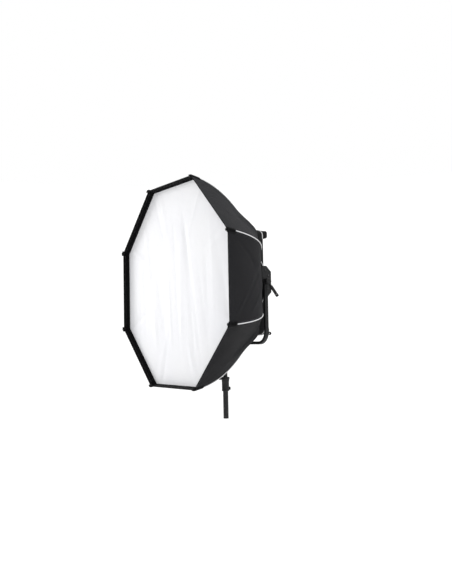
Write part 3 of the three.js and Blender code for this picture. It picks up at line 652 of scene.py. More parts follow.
def smoothstep(value, low, high):
    share = np.clip((value - low) / (high - low), 0, 1)
    return share * share * (3 - 2 * share)


def seam_angle(k):
    return (k + 0.5) * math.pi / 4


def is_side(k):
    return k % 4 in (0, 3)


def seam_front(k):
    return np.array([R * math.cos(seam_angle(k)), FRONT_Y, AXIS_Z + R * math.sin(seam_angle(k))])


def seam_rear(k):
    sign_x, sign_z = np.sign(math.cos(seam_angle(k))), np.sign(math.sin(seam_angle(k)))
    x = COLLAR_HALF[0] if is_side(k) else TOP_SEAM_X
    z = SIDE_SEAM_Z if is_side(k) else COLLAR_HALF[1]
    return np.array([sign_x * x, REAR_Y, AXIS_Z + sign_z * z])


def profile_depth(profile, q):
    return bezier(0, profile[0][0] * R, profile[1][0] * R, SHELL_DEPTH, q)


FINE = np.linspace(0, 1, 4001)
TOP_DEPTHS = profile_depth(TOP_PROFILE, FINE)
SIDE_DEPTHS = profile_depth(SIDE_PROFILE, FINE)


def at_depth(depth):
    return float(np.interp(depth, SIDE_DEPTHS, FINE))


def seam_points(k, t):
    t = np.asarray(t, float)
    profile = SIDE_PROFILE if is_side(k) else TOP_PROFILE
    depth = profile_depth(SIDE_PROFILE, t)
    q = t if is_side(k) else np.interp(depth, TOP_DEPTHS, FINE)
    share = bezier(0, profile[0][1], profile[1][1], 1, q)[..., None]
    points = seam_front(k) * (1 - share) + seam_rear(k) * share
    points[..., 1] = FRONT_Y + depth
    return points


def collar_points(k, u):
    """Points at u along the rear edge of diagonal panel k: the collar's rectangle and its corner."""
    start, end = seam_rear(k), seam_rear((k + 1) % 8)
    corner = np.array([
        np.sign(start[0]) * COLLAR_HALF[0], REAR_Y, AXIS_Z + np.sign(start[2] - AXIS_Z) * COLLAR_HALF[1],
    ])
    before = corner + (start - corner) * COLLAR_CORNER / np.linalg.norm(corner - start)
    after = corner + (end - corner) * COLLAR_CORNER / np.linalg.norm(corner - end)
    s = np.linspace(0, 1, 25)[:, None]
    bend = (1 - s) ** 2 * before + 2 * s * (1 - s) * corner + s * s * after
    line = np.concatenate([start[None], bend, end[None]])
    run = run_of(line)
    return read_along(np.asarray(u) * run[-1], run, line)


def panel_points(k, u, t):
    """Points of panel k at grids u and t of the same shape."""
    u, t = np.broadcast_arrays(np.asarray(u, float), np.asarray(t, float))
    first, second = seam_points(k, t), seam_points((k + 1) % 8, t)
    v = u[..., None]
    points = first * (1 - v) + second * v
    outward = (first + second) / 2 - (0, 0, AXIS_Z)
    outward[..., 1] = 0
    points -= unit(outward) * (SAG * 4 * v * (1 - v) * np.sin(np.pi * t[..., None]) ** 2)
    if k % 2 == 0:
        straight = seam_rear(k) * (1 - v) + seam_rear((k + 1) % 8) * v
        points += (collar_points(k, u) - straight) * smoothstep(t, SWELL_START, 1)[..., None]
    return points


def panel_normals(k, u, t):
    step = 1e-3
    along = panel_points(k, u, np.minimum(1, t + step)) - panel_points(k, u, np.maximum(0, t - step))
    across = panel_points(k, np.minimum(1, u + step), t) - panel_points(k, np.maximum(0, u - step), t)
    return unit(np.cross(along, across))


def seam_outward(k, t):
    beside = 0.08
    t = np.asarray(t, float)
    before = panel_normals((k + 7) % 8, np.full(t.shape, 1 - beside), t)
    after = panel_normals(k, np.full(t.shape, beside), t)
    return unit(before + after)


def panel_width(k, t):
    return np.linalg.norm(seam_points((k + 1) % 8, t) - seam_points(k, t), axis=-1)


ROWS, COLUMNS = 96, 84       # grid of a panel: across and along the seams


def creases(across, along, width, length, lines):
    """Height of soft creases. Each line is (u0, t0, u1, t1, spread, height)."""
    height = np.zeros(across.shape)
    x, y = across * width, along * length
    for u0, t0, u1, t1, spread, tall in lines:
        start = np.array([u0 * width, t0 * length])
        line = np.array([u1 * width, t1 * length]) - start
        size = np.linalg.norm(line)
        share = ((x - start[0]) * line[0] + (y - start[1]) * line[1]) / size**2
        off = ((x - start[0]) * line[1] - (y - start[1]) * line[0]) / size
        bend = 0.04 * size * np.sin(np.pi * np.clip(share, 0, 1))
        fade = np.sin(np.pi * np.clip(share * 0.94 + 0.03, 0, 1)) ** 0.7
        inside = (share > -0.03) & (share < 1.03)
        wide = spread * (0.6 + 0.8 * np.clip(share, 0, 1))
        height += tall * inside * fade * np.exp(-(((off - bend) / wide) ** 2))
    return height


def random_creases(count, tall):
    """Creases that run from a panel's corners towards the opposite edge."""
    lines = []
    for _ in range(count):
        corner_u = float(random.integers(0, 2))
        corner_t = float(random.integers(0, 2))
        u0 = abs(corner_u - random.uniform(0.0, 0.12))
        t0 = abs(corner_t - random.uniform(0.0, 0.15))
        u1 = abs(corner_u - random.uniform(0.35, 0.85))
        t1 = abs(corner_t - random.uniform(0.45, 0.95))
        sign = 1 if random.uniform() < 0.6 else -1
        lines.append((u0, t0, u1, t1, random.uniform(0.009, 0.020), sign * random.uniform(0.4, 1) * tall))
    return lines


# The near side panel's own folds fan out from its lower front corner.
FOLDED_PANEL = 7
FAN = (
    (0.10, 0.10, 0.62, 0.74, 0.014, 0.0026),
    (0.16, 0.22, 0.86, 0.92, 0.017, -0.0022),
    (0.05, 0.34, 0.55, 0.97, 0.013, 0.0024),
    (0.88, 0.98, 0.30, 0.70, 0.012, 0.0020),
    (0.94, 0.12, 0.60, 0.55, 0.010, -0.0014),
)


def relief(k, across, along, width, length):
    """How far panel k's cloth stands off its smooth shape."""
    near_seam = np.minimum(across, 1 - across) * width
    free = smoothstep(near_seam, 0.002, 0.045) * smoothstep(along, 0, 0.06) * smoothstep(1 - along, 0, 0.05)
    height = free * creases(across, along, width, length, random_creases(6, 0.0012))
    if k == FOLDED_PANEL:
        height += free * creases(across, along, width, length, FAN)
    for _ in range(5):
        wave = random.uniform(5, 16, 2)
        phase = random.uniform(0, 2 * np.pi, 2)
        swing = random.uniform(0.0002, 0.0006)
        height += free * swing * np.sin(wave[0] * across * width * 2 + phase[0]) * np.sin(
            wave[1] * along * length * 2 + phase[1])
    pucker = np.exp(-near_seam / 0.011) * smoothstep(near_seam, 0.0, 0.004)
    drift = random.uniform(0, 2 * np.pi)
    height += 0.0005 * pucker * np.sin(2 * np.pi * along * length / 0.021 + drift + 2 * np.sin(9 * along))
    return height


def seam_path(k, start, end, count, off):
    """Points along seam k, standing off it by a distance."""
    t = np.linspace(start, end, count)
    return seam_points(k, t) + seam_outward(k, t) * off


def make_rods():
    rod_start = at_depth(LIP_DEPTH + 0.008)
    for k in range(8):
        path = seam_path(k, rod_start, 1, 44, -ROD_INSET)
        rod = add_swept(Body(), path, circle(ROD_RADIUS, 16))
        add_swept(rod, path[-9:-6], circle(ROD_RADIUS + 0.0008, 16))
        rod.build(f"rod_sleeve_{k + 1}", "rod", "head", [f"rod_{k + 1}"], "rod")


PIPING_RADIUS = 0.0023
PIPING_OFF = 0.0008


def piping_tail(k):
    """Where seam k's piping goes on over the collar: to the notch, or round the collar's corner."""
    rear = seam_rear(k)
    sign_x, sign_z = np.sign(rear[0]), np.sign(rear[2] - AXIS_Z)
    hem = COLLAR_END_Y - 0.002
    if is_side(k):
        z = np.linspace(SIDE_SEAM_Z - 0.004, NOTCH_HALF_Z + 0.002, 14)
        share = (z[0] - z) / (z[0] - z[-1])
        x = np.full(len(z), COLLAR_HALF[0] + 0.0015)
        y = REAR_Y + (hem - REAR_Y) * smoothstep(share, -0.1, 1)
    else:
        angle = np.linspace(0, np.pi / 2, 12)
        lead = np.linspace(TOP_SEAM_X + 0.004, COLLAR_HALF[0] - COLLAR_CORNER, 5)[:-1]
        drop = np.linspace(COLLAR_HALF[1] - COLLAR_CORNER, COLLAR_HALF[1] - COLLAR_CORNER - 0.02, 4)[1:]
        round_x = COLLAR_HALF[0] - COLLAR_CORNER + (COLLAR_CORNER + 0.0015) * np.sin(angle)
        round_z = COLLAR_HALF[1] - COLLAR_CORNER + (COLLAR_CORNER + 0.0015) * np.cos(angle)
        x = np.concatenate([lead, round_x, np.full(3, COLLAR_HALF[0] + 0.0015)])
        z = np.concatenate([np.full(4, COLLAR_HALF[1] + 0.0015), round_z, drop])
        y = REAR_Y + (hem - REAR_Y) * smoothstep(np.linspace(0, 1, len(x)), 0, 0.6)
    return np.stack([sign_x * x, y, AXIS_Z + sign_z * z], 1)


def smoothed(path, passes=6):
    path = np.array(path)
    for _ in range(passes):
        path[1:-1] = (path[:-2] + 2 * path[1:-1] + path[2:]) / 4
    return path


def make_piping(k):
    line = seam_path(k, at_depth(CAP_LENGTH - 0.004), 1, 64, PIPING_OFF)
    path = smoothed(np.concatenate([line[:-1], piping_tail(k)]))
    taper = np.ones(len(path))
    taper[:2] = (0.5, 0.85)
    taper[-2:] = (0.85, 0.5)
    piping = add_swept(Body(), path, circle(PIPING_RADIUS, 12), taper)
    return piping.build(f"piping_{k + 1}", "piping", "head")


def add_stitches(body, path, normals, length=0.0032, pitch=0.0046, radius=0.0005):
    """Adds a row of stitches: short threads that dip into the cloth at both ends."""
    path, normals = np.asarray(path), np.asarray(normals)
    run = run_of(path)
    section = circle(radius, 5)
    dips = ((0, -0.7), (0.2, 0.35), (0.8, 0.35), (1, -0.7))
    faces = ring_faces(len(dips), 5, turned=True) + [(4, 3, 2, 1, 0), (15, 16, 17, 18, 19)]
    for start in np.arange(pitch / 2, run[-1] - length, pitch):
        at = [read_along(start + share * length, run, path) for share, _ in dips]
        normal = read_along(start, run, normals)
        across = np.cross(unit(at[-1] - at[0]), normal)
        rings = [
            point + normal * dip * radius + section[:, :1] * across + section[:, 1:] * normal
            for point, (_, dip) in zip(at, dips)
        ]
        body.add(np.concatenate(rings), faces)


SEAM_INSET = 0.0004


def panel_grid(k):
    across = np.linspace(0, 1, ROWS)[:, None]
    along = np.linspace(0, 1, COLUMNS)[None, :]
    width = panel_width(k, along)
    u = SEAM_INSET / width + across * (1 - 2 * SEAM_INSET / width)
    t = np.broadcast_to(along, u.shape)
    return u, t, width


def make_panel(k):
    name = f"panel_{PANELS[k]}"
    u, t, width = panel_grid(k)
    points, normals = panel_points(k, u, t), panel_normals(k, u, t)
    length = float(steps_of(points[ROWS // 2]).sum())
    widest = float(width.max())
    height = relief(k, u, t, widest, length)
    outer = points + normals * (height - 0.0001)[..., None]
    inner = outer - normals * CLOTH_THICK
    flat = np.stack([u * width, t * length], -1)
    near = np.minimum(u, 1 - u) * width
    edge = np.exp(-near / 0.006) + np.exp(-t * length / 0.006) + np.exp(-(1 - t) * length / 0.01)
    # Painted light: the last argument, 0.5 + 0.5 times the normal's upward part, lightens upward-facing
    # cloth and darkens downward-facing cloth.
    cloth = add_sheet(Body(), outer, inner, flat, np.clip(edge, 0, 1), 0.5 + 0.5 * normals[..., 2])
    piece = cloth.build(f"{name}_cloth", "cloth", "head", [name], "cloth", 60)

    seams = Body()
    along = np.linspace(at_depth(CAP_LENGTH + 0.004), 0.985, 90)
    for row_at in (0.0055, 0.0085):
        share = row_at / panel_width(k, along)
        for row in (share, 1 - share):
            normal = panel_normals(k, row, along)
            lift = relief_at(height, row, along)[:, None]
            add_stitches(seams, panel_points(k, row, along) + normal * lift, normal)
    stitches = seams.build(f"stitches_{PANELS[k]}", "thread", "head")
    make_piping(k)


def relief_at(height, across, along):
    """The cloth's height at points beside a seam, from the grid's nearest values."""
    columns = np.clip(np.round(along * (COLUMNS - 1)).astype(int), 0, COLUMNS - 1)
    rows = np.clip(np.round(across * (ROWS - 1)).astype(int), 0, ROWS - 1)
    return height[rows, columns]


def make_cap(k):
    """A webbing pocket folded over the seam's front end, with the rod's rubber tip in its nose."""
    before = (k + 7) % 8
    last = at_depth(CAP_LENGTH)
    count_across, count_along = 25, 61
    a = np.linspace(-1, 1, count_across)[:, None]
    f = np.linspace(-0.2, 1, count_along)[None, :]
    a, f = np.broadcast_arrays(a, f)
    rounded = 1 - 0.10 * np.abs(a) ** 6
    t = np.clip(f, 0, 1) * last * rounded
    points, normals = np.zeros((*a.shape, 3)), np.zeros((*a.shape, 3))
    for side, panel in ((a < 0, before), (a >= 0, k)):
        width = panel_width(panel, t)
        share = np.abs(a) * CAP_HALF_WIDTH / width
        u = 1 - share if panel == before else share
        points[side] = panel_points(panel, u, t)[side]
        normals[side] = panel_normals(panel, u, t)[side]
    fold = seam_outward(k, t) / math.cos(math.pi / 8)
    blend = np.exp(-(a / 0.16) ** 2)[..., None]
    normals = normals * (1 - blend) + fold * blend
    ahead = np.clip(-f / 0.2, 0, 1)
    points[..., 1] -= ahead * CAP_REACH
    rim = np.maximum(np.abs(a) ** 14, np.clip((f - 0.93) / 0.07, 0, 1) ** 2)
    rim = np.maximum(rim, np.clip((ahead - 0.8) / 0.2, 0, 1) ** 2)
    ribs = 0.00010 * np.sin(2 * np.pi * f * 11)
    thick = CAP_THICK * (1 - 0.55 * rim) + ribs * (1 - rim)
    outer = points + normals * (CAP_OFFSET + thick)[..., None]
    inner = points + normals * (CAP_OFFSET * 0.5)
    flat = np.stack([a * CAP_HALF_WIDTH, f * CAP_LENGTH], -1)
    cap = add_sheet(Body(), outer, inner, flat, rim)
    piece = cap.build(f"cap_patch_{k + 1}", "trim", "head", [f"corner_cap_{k + 1}"], "trim", 60)

    inward = np.array([-math.cos(seam_angle(k)), 0, -math.sin(seam_angle(k))])
    centre = seam_front(k) + inward * (NOSE_RADIUS - 0.001)
    r = NOSE_RADIUS
    profile = [
        (0, -0.004), (r * 0.9, -0.004), (r, -0.003), (r, 0.0015), (r * 0.86, 0.0025), (r * 0.86, 0.0038),
        (r, 0.0048), (r, 0.0078), (r * 0.93, 0.0095), (r * 0.72, 0.0106), (r * 0.4, 0.0112), (0, 0.0114),
    ]
    tip = add_turned(Body(), profile, tuple(centre), FORWARD, 32)
    nose = tip.build(f"rod_tip_{k + 1}", "rubber", "head", (), "trim")

    seam = Body()
    start, end = 13, count_along - 6
    lines = [np.s_[column, start:end + 1] for column in (2, count_across - 3)]
    lines += [np.s_[3:-3, row] for row in (start, end)]
    for line in lines:
        add_stitches(seam, outer[line], unit(normals[line]), 0.0022, 0.0034, 0.0004)
    stitches = seam.build(f"cap_stitches_{k + 1}", "thread", "head")


# ---------------------------------------------------------------- front lip, diffuser and baffle

SIDE_STEPS = 40


def octagon_line(radius, y, wave=None):
    """Points round an octagon, SIDE_STEPS to a side, from seam 0 anticlockwise as seen from the front."""
    points = []
    for k in range(8):
        for step in range(SIDE_STEPS):
            share = step / SIDE_STEPS
            a, b = seam_angle(k), seam_angle(k + 1)
            x = math.cos(a) * (1 - share) + math.cos(b) * share
            z = math.sin(a) * (1 - share) + math.sin(b) * share
            swing = wave(k, share) if wave else 0
            points.append((x * (radius + swing), y, AXIS_Z + z * (radius + swing)))
    return np.array(points)


def stitch_sides(body, ring, facing, radius):
    """Adds stitches along each side of an octagonal ring of points."""
    steps = len(ring) // 8
    for k in range(8):
        part = slice(k * steps + 1, (k + 1) * steps)
        add_stitches(body, ring[part], facing[part], 0.0036, 0.0052, radius)


def make_lip():
    side = 2 * LIP_RADIUS * math.sin(math.pi / 8)
    phases = random.uniform(0, 2 * np.pi, 8)
    rates = random.uniform(2.2, 4.5, 8)

    def ripple(size):
        def wave(k, share):
            return size * math.sin(np.pi * share) * math.sin(rates[k] * 2 * np.pi * share + phases[k])
        return wave

    # (corner radius inside the lip's outer face, depth, how much it ripples)
    section = [
        (0.0, 0.0016, 0.0), (0.0004, 0.0004, 0.0), (0.0016, -0.0003, 0.0), (0.0030, -0.0002, 0.0),
        (0.0040, 0.0010, 0.0), (0.0042, 0.0026, 0.1), (0.0036, 0.0044, 0.2), (0.0026, 0.0056, 0.2),
        (0.0024, 0.0110, 0.5), (0.0024, 0.0180, 0.8), (0.0024, 0.0260, 0.9), (0.0026, 0.0310, 0.6),
        (0.0030, LIP_DEPTH, 0.3), (0.0004, LIP_DEPTH, 0.2), (0.0, 0.0260, 0.2), (0.0, 0.0130, 0.1),
    ]
    rings = []
    for inset, depth, loose in section:
        radius = LIP_RADIUS - LIP_TAPER * max(0.0, depth) / LIP_DEPTH - inset
        rings.append(octagon_line(radius, FRONT_Y + depth, ripple(-0.0011 * loose)))
    rings = np.array(rings)
    count, around = rings.shape[:2]
    length = np.arange(around) * side / SIDE_STEPS
    depths = np.array([depth for _, depth, _ in section])
    flat = np.stack(np.meshgrid(length, depths), -1).reshape(-1, 2)
    edge = np.repeat(np.exp(-np.maximum(0, depths) / 0.003), around)
    faces = ring_faces(count, around, turned=True, closed=True)
    band = Body().add(rings.reshape(-1, 3), faces, flat, edge)
    piece = band.build("lip_band", "trim", "head", ["front_lip"], "trim", 50)

    seam = Body()
    for line in rings[[8, 11]]:
        stitch_sides(seam, line, unit((np.array(TILT_AXIS) - line) * (1, 0, 1)), 0.0005)
    stitches = seam.build("lip_stitches", "thread", "head")


SHEET_THICK = 0.0009
SHEET_STEPS = 36             # points to a side of the diffuser and of the baffle
FOLD_FADE = 0.2              # length over which a fold dies away


def octagon_sheet(name, corners, y, folds, material, node, rings, stitch):
    """A white sheet stretched in an octagon. folds(x, z, share) is how far it stands off its plane, and
    stitch lists the rings that are sewn, counted from the rim."""
    corners = np.asarray(corners)
    centre = corners.mean(axis=0)
    share = np.arange(SHEET_STEPS)[:, None] / SHEET_STEPS
    line = np.concatenate([a + (b - a) * share for a, b in zip(corners, np.roll(corners, -1, 0))])
    around = len(line)

    def ring_at(share, side):
        x, z = (centre + (line - centre) * share).T
        return np.stack([x, y + folds(x, z, share) + side * SHEET_THICK / 2, AXIS_Z + z], 1)

    shares = np.linspace(0, 1, rings)[1:]
    outer, inner = (np.array([ring_at(share, side) for share in shares]) for side in (-1, 1))
    middle = [ring_at(0.0, side)[0] for side in (-1, 1)]
    back = 2 + len(shares) * around
    faces = layer_faces(len(shares), around, 2)
    for j in range(around):
        nxt = (j + 1) % around
        faces += [(0, 2 + j, 2 + nxt), (1, back + nxt, back + j)]
    sheet = Body().add(np.concatenate([middle, outer.reshape(-1, 3), inner.reshape(-1, 3)]), faces)
    piece = sheet.build(name, material, "head", [node], "diffuser", 60)
    hem = Body()
    for inset in stitch:
        stitch_sides(hem, outer[-1 - inset], np.tile((0.0, -1.0, 0.0), (around, 1)), 0.0004)
    stitches = hem.build(f"{name}_stitches", "white_thread", "head")


def fold_field(lines, fan):
    """Faint folds of a stretched sheet: near-vertical lines, and short pulls that fan from the corners."""
    def field(x, z, share):
        height = np.zeros(x.shape)
        for at, slope, wide, tall, low, high in lines:
            off = x - at - slope * z
            ends = smoothstep(z, low, low + FOLD_FADE) * smoothstep(-z, -high, FOLD_FADE - high)
            height += tall * np.exp(-((off / wide) ** 2)) * ends
        for angle, wide, tall in fan:
            along = x * math.cos(angle) + z * math.sin(angle)
            off = -x * math.sin(angle) + z * math.cos(angle)
            height += tall * np.exp(-((off / wide) ** 2)) * smoothstep(along, 0.2, 0.5)
        return height * smoothstep(np.full(x.shape, 1 - share), 0.004, 0.06)
    return field


def make_diffusers():
    lines, fan = [], []
    for at in np.linspace(-0.46, 0.46, 17):
        sign = 1 if random.uniform() < 0.5 else -1
        lines.append((
            at + random.uniform(-0.02, 0.02), random.uniform(-0.22, 0.06), random.uniform(0.010, 0.026),
            sign * random.uniform(0.0014, 0.0034), random.uniform(-0.55, -0.3), random.uniform(0.0, 0.5),
        ))
    for k in np.repeat(range(8), 3):
        angle = seam_angle(k) + random.uniform(-0.12, 0.12)
        fan.append((angle, random.uniform(0.010, 0.024), random.uniform(-0.0024, 0.0028)))
    radius = LIP_RADIUS - LIP_TAPER - 0.0028
    corners = [(radius * math.cos(seam_angle(k)), radius * math.sin(seam_angle(k))) for k in range(8)]
    octagon_sheet("diffuser_cloth", corners, FRONT_Y + LIP_DEPTH + 0.0009, fold_field(lines, fan),
                  "diffuser", "front_diffuser", 56, (2, 3))
    t = at_depth(BAFFLE_DEPTH)
    corners = [(seam_points(k, t) - seam_outward(k, t) * 0.020)[[0, 2]] - (0, AXIS_Z) for k in range(8)]
    octagon_sheet("baffle_cloth", corners, FRONT_Y + BAFFLE_DEPTH + 0.00075,
                  fold_field(lines[::2], fan[::2]), "baffle", "inner_baffle",
                  24, (1,))


# ---------------------------------------------------------------- rear collar


def collar_outline(spacing=0.006):
    """Points and outward directions round the collar, with the distance along it."""
    half_x, half_z = COLLAR_HALF
    r = COLLAR_CORNER
    points, outward = [], []
    corners = ((1, 1, 0), (-1, 1, 90), (-1, -1, 180), (1, -1, 270))
    for index, (sx, sz, start) in enumerate(corners):
        centre = np.array([sx * (half_x - r), sz * (half_z - r)])
        for step in range(9):
            angle = math.radians(start + 90 * step / 8)
            way = np.array([math.cos(angle), math.sin(angle)])
            points.append(centre + r * way)
            outward.append(way)
        nx, nz, following = corners[(index + 1) % 4]
        angle = math.radians(following)
        way = np.array([math.cos(angle), math.sin(angle)])
        goal = np.array([nx * (half_x - r), nz * (half_z - r)]) + r * way
        count = max(2, int(np.linalg.norm(goal - points[-1]) / spacing))
        here = points[-1]
        for step in range(1, count):
            points.append(here + (goal - here) * step / count)
            outward.append(way)
    return np.array(points), np.array(outward)


def make_collar():
    points, outward = collar_outline()
    around = len(points)
    gaps = np.linalg.norm(np.roll(points, -1, 0) - points, axis=1)
    run = np.concatenate([[0], np.cumsum(gaps)[:-1]])
    total = float(gaps.sum())
    on_side = np.abs(points[:, 0]) > COLLAR_HALF[0] - 0.001
    inside = on_side & (np.abs(points[:, 1]) < NOTCH_HALF_Z)
    cut = np.zeros(around)
    cut[inside] = NOTCH_DEPTH * np.sqrt(1 - (points[inside, 1] / NOTCH_HALF_Z) ** 2)
    start_y = REAR_Y - 0.0025
    rows = 16
    gather = 0.0006 * np.sin(2 * np.pi * run * round(total / 0.024) / total)
    sway = 0.0008 * np.sin(2 * np.pi * run * 9 / total + 1)
    outer, inner = [], []
    for i in range(rows):
        share = i / (rows - 1)
        y = start_y + (COLLAR_END_Y - cut - start_y) * share
        hem = math.exp(-(((share - 0.96) / 0.05) ** 2)) * 0.0008
        start = math.exp(-((share / 0.06) ** 2)) * 0.0004
        loose = math.sin(math.pi * share)
        off = (gather + sway) * loose + hem + start + 0.0003
        for offset, collected in ((off, outer), (off - 0.0014 - hem, inner)):
            xz = points + outward * np.broadcast_to(offset, around)[:, None]
            collected.append(np.stack([xz[:, 0], y, AXIS_Z + xz[:, 1]], 1))
    outer, inner = np.array(outer), np.array(inner)
    count = rows * around
    faces = layer_faces(rows, around)
    for j in range(around):
        nxt = (j + 1) % around
        faces.append((nxt, count + nxt, count + j, j))
    shares = np.linspace(0, 1, rows)
    flat = np.stack(np.meshgrid(run, shares * (COLLAR_END_Y - start_y)), -1).reshape(-1, 2)
    edge = np.repeat(np.exp(-(1 - shares) / 0.08) + np.exp(-shares / 0.08), around)
    body = Body()
    body.add(np.concatenate([outer.reshape(-1, 3), inner.reshape(-1, 3)]), faces,
             np.concatenate([flat, flat]), np.clip(np.concatenate([edge, edge]), 0, 1))
    piece = body.build("collar_cloth", "collar", "head", ["rear_collar"], "cloth", 60)
    seam = Body()
    normals = np.stack([outward[:, 0], np.zeros(around), outward[:, 1]], 1)
    for row in (2, rows - 3):
        add_stitches(seam, outer[row], normals)
    stitches = seam.build("collar_stitches", "thread", "head")
    binding = add_swept(Body(), outer[-1] - normals * 0.0008, circle(0.0014, 8), closed=True)
    bound = binding.build("collar_binding", "trim", "head", (), "trim")


# ---------------------------------------------------------------- lamp


PLATE_Y = 0.0207             # rear face of the lamp's cover plate


def make_lamp():
    for node, name, look, width, segments in (
        ("speed_ring", "ring_frame", "black_metal", 0.0006, 1),
        ("lamp_frame", "lamp_body", "black_metal", 0.0014, 3),
        ("back_cover", "heat_sink", "black_metal", 0.0006, 2),
        ("led_board", "led_panel", "board", 0.0003, 1),
        ("lamp_diffuser", "lamp_lens", "lamp_diffuser", 0.0005, 2),
    ):
        cad_copy(node, name, look, "head", width, segments)
    low, high, _ = node_box("led_board")
    edge_wear_and_highlight = Body()
    for x in np.linspace(low.x + 0.03, high.x - 0.03, 22):
        for z in np.linspace(low.z + 0.03, high.z - 0.03, 18):
            add_pad(edge_wear_and_highlight, x, z, 0.0025, 0.0025, low.y - 0.0012, low.y + 0.0002, 0.0003, 1)
    edge_wear_and_highlight.build("led_chips", "led", "head", (), "board")
    low, high, _ = node_box("back_cover")
    screws = Body()
    for x in np.linspace(low.x + 0.055, high.x - 0.055, 6):
        for z in (low.z + 0.010, high.z - 0.010):
            add_screw(screws, (x, PLATE_Y, z), BACKWARD)
    for z in np.linspace(low.z + 0.060, high.z - 0.060, 4):
        for x in (low.x + 0.010, high.x - 0.010):
            add_screw(screws, (x, PLATE_Y, z), BACKWARD)
    screws.build("cover_screws", "screw", "head", (), "steel")
    ribs = Body()
    depth = (PLATE_Y - 0.0005, PLATE_Y + 0.003)
    for sign in (-1, 1):
        for x in (-0.165, 0.165):
            add_pad(ribs, x, AXIS_Z + sign * 0.215, 0.12, 0.006, *depth, 0.0014, 3)
        add_pad(ribs, sign * 0.309, AXIS_Z - 0.002, 0.005, 0.16, *depth, 0.0014, 3)
    ribs.build("cover_ribs", "black_metal", "head", (), "black_metal")
    for place in ("upper_right", "upper_left", "lower_left", "lower_right"):
        make_guard(place)


def make_guard(place):
    """A moulded corner bumper with a groove round it and a screw in its rear face."""
    node = f"corner_guard_{place}"
    low, high, centre = node_box(node)
    front, back = low.y, high.y
    sections = [
        (front, 0.0015), (front + 0.0015, 0), (front + 0.011, 0), (front + 0.0125, 0.0014),
        (front + 0.0155, 0.0014), (front + 0.017, 0), (back - 0.008, 0), (back - 0.004, 0.0012),
        (back - 0.0012, 0.0038), (back, 0.008),
    ]
    points = []
    for y, inset in sections:
        outline = rounded_box((high.x - low.x) / 2 - inset, (high.z - low.z) / 2 - inset, 0.010, 6)
        points += [(centre.x + a, y, centre.z + b) for a, b in outline]
    rings, sides = len(sections), len(outline)
    faces = ring_faces(rings, sides)
    faces += [tuple(range(sides)), tuple(range((rings - 1) * sides, rings * sides))[::-1]]
    Body().add(points, faces).build(f"bumper_{place}", "rubber", "head", [node], "rubber")
    screw = add_screw(Body(), (centre.x, back, centre.z), BACKWARD, 0.0045, 0.0012)
    screw.build(f"bumper_screw_{place}", "screw", "head", (), "steel")


def make_controls():
    cad_copy("control_box", "control_case", "plastic", "head", 0.0016, 3)
    low, high, _ = node_box("control_box")
    rear = high.y
    x, z = -0.0375, AXIS_Z + 0.020
    screen = add_pad(Body(), x, z, 0.0675, 0.032, rear - 0.001, rear + 0.0012, 0.001, 3)
    screen.build("display_window", "glass", "head", (), "plastic")
    path = [(x + a, rear + 0.0006, z + b) for a, b in rounded_box(0.0705, 0.0350, 0.004, 4)]
    bezel = add_swept(Body(), path, circle(0.0013, 8), closed=True)
    bezel.build("display_bezel", "plastic", "head", (), "plastic")
    vents, screws, buttons = Body(), Body(), Body()
    for sign in (-1, 1):
        for i in range(9):
            z = AXIS_Z - 0.056 + i * 0.014
            add_pad(vents, sign * high.x, z, 0.0012, 0.0022, low.y + 0.009, rear - 0.009, 0.0009)
        for z in (AXIS_Z - 0.081, AXIS_Z + 0.081):
            add_screw(screws, (sign * (high.x - 0.010), rear, z), BACKWARD, 0.0032, 0.0014)
    vents.build("case_louvres", "plastic", "head", (), "plastic")
    screws.build("case_screws", "screw", "head", (), "steel")
    profile = softened([(0, -0.001), (0.0062, -0.001), (0.0062, 0.0022), (0, 0.0026)], 0.0008)
    for x in (-0.010, 0.014, 0.038):
        add_turned(buttons, profile, (x, rear, AXIS_Z - 0.052), BACKWARD, 32)
    buttons.build("case_buttons", "rubber", "head", (), "rubber")
    for node in ("dimmer_dial", "colour_dial"):
        make_dial(node)
    cad_copy("power_switch", "rocker", "plastic", "power_switch", 0.0012, 3)
    cad_copy("power_inlet", "inlet_shell", "plastic", "head", 0.0005, 2)
    low, high, centre = node_box("power_inlet")
    pins = Body()
    for x, z in ((-0.007, -0.0025), (0, 0.0035), (0.007, -0.0025)):
        add_pad(pins, centre.x + x, centre.z + z, 0.001, 0.002, low.y + 0.002, high.y - 0.004, 0.0004)
    pins.build("inlet_pins", "brass", "head", (), "steel")


def make_dial(node):
    low, high, centre = node_box(node)
    r = (high.x - low.x) / 2
    profile = [
        (0, -0.009), (0.003, -0.009), (0.003, 0.0005), (r, 0.0005), (r, 0.002), (r - 0.0009, 0.0028),
        (r - 0.0009, 0.0115), (r - 0.0016, 0.0130), (r - 0.003, 0.0138), (r - 0.0045, 0.0138),
        (r - 0.0052, 0.0131), (0, 0.0129),
    ]
    flutes = lobed(36, 0.05, 0.0027, 0.0118)
    grip = add_turned(Body(), profile, (centre.x, high.y - 0.014, centre.z), BACKWARD, 144, flutes)
    grip.build(f"{node}_grip", "plastic", node, [node], "plastic")
    depth = (high.y - 0.0012, high.y + 0.0001)
    mark = add_pad(Body(), centre.x, centre.z + 0.00675, 0.0006, 0.00275, *depth, 0.0003)
    mark.build(f"{node}_mark", "ring", node, (), "plastic")


# ---------------------------------------------------------------- brackets, bolts, lever and knob


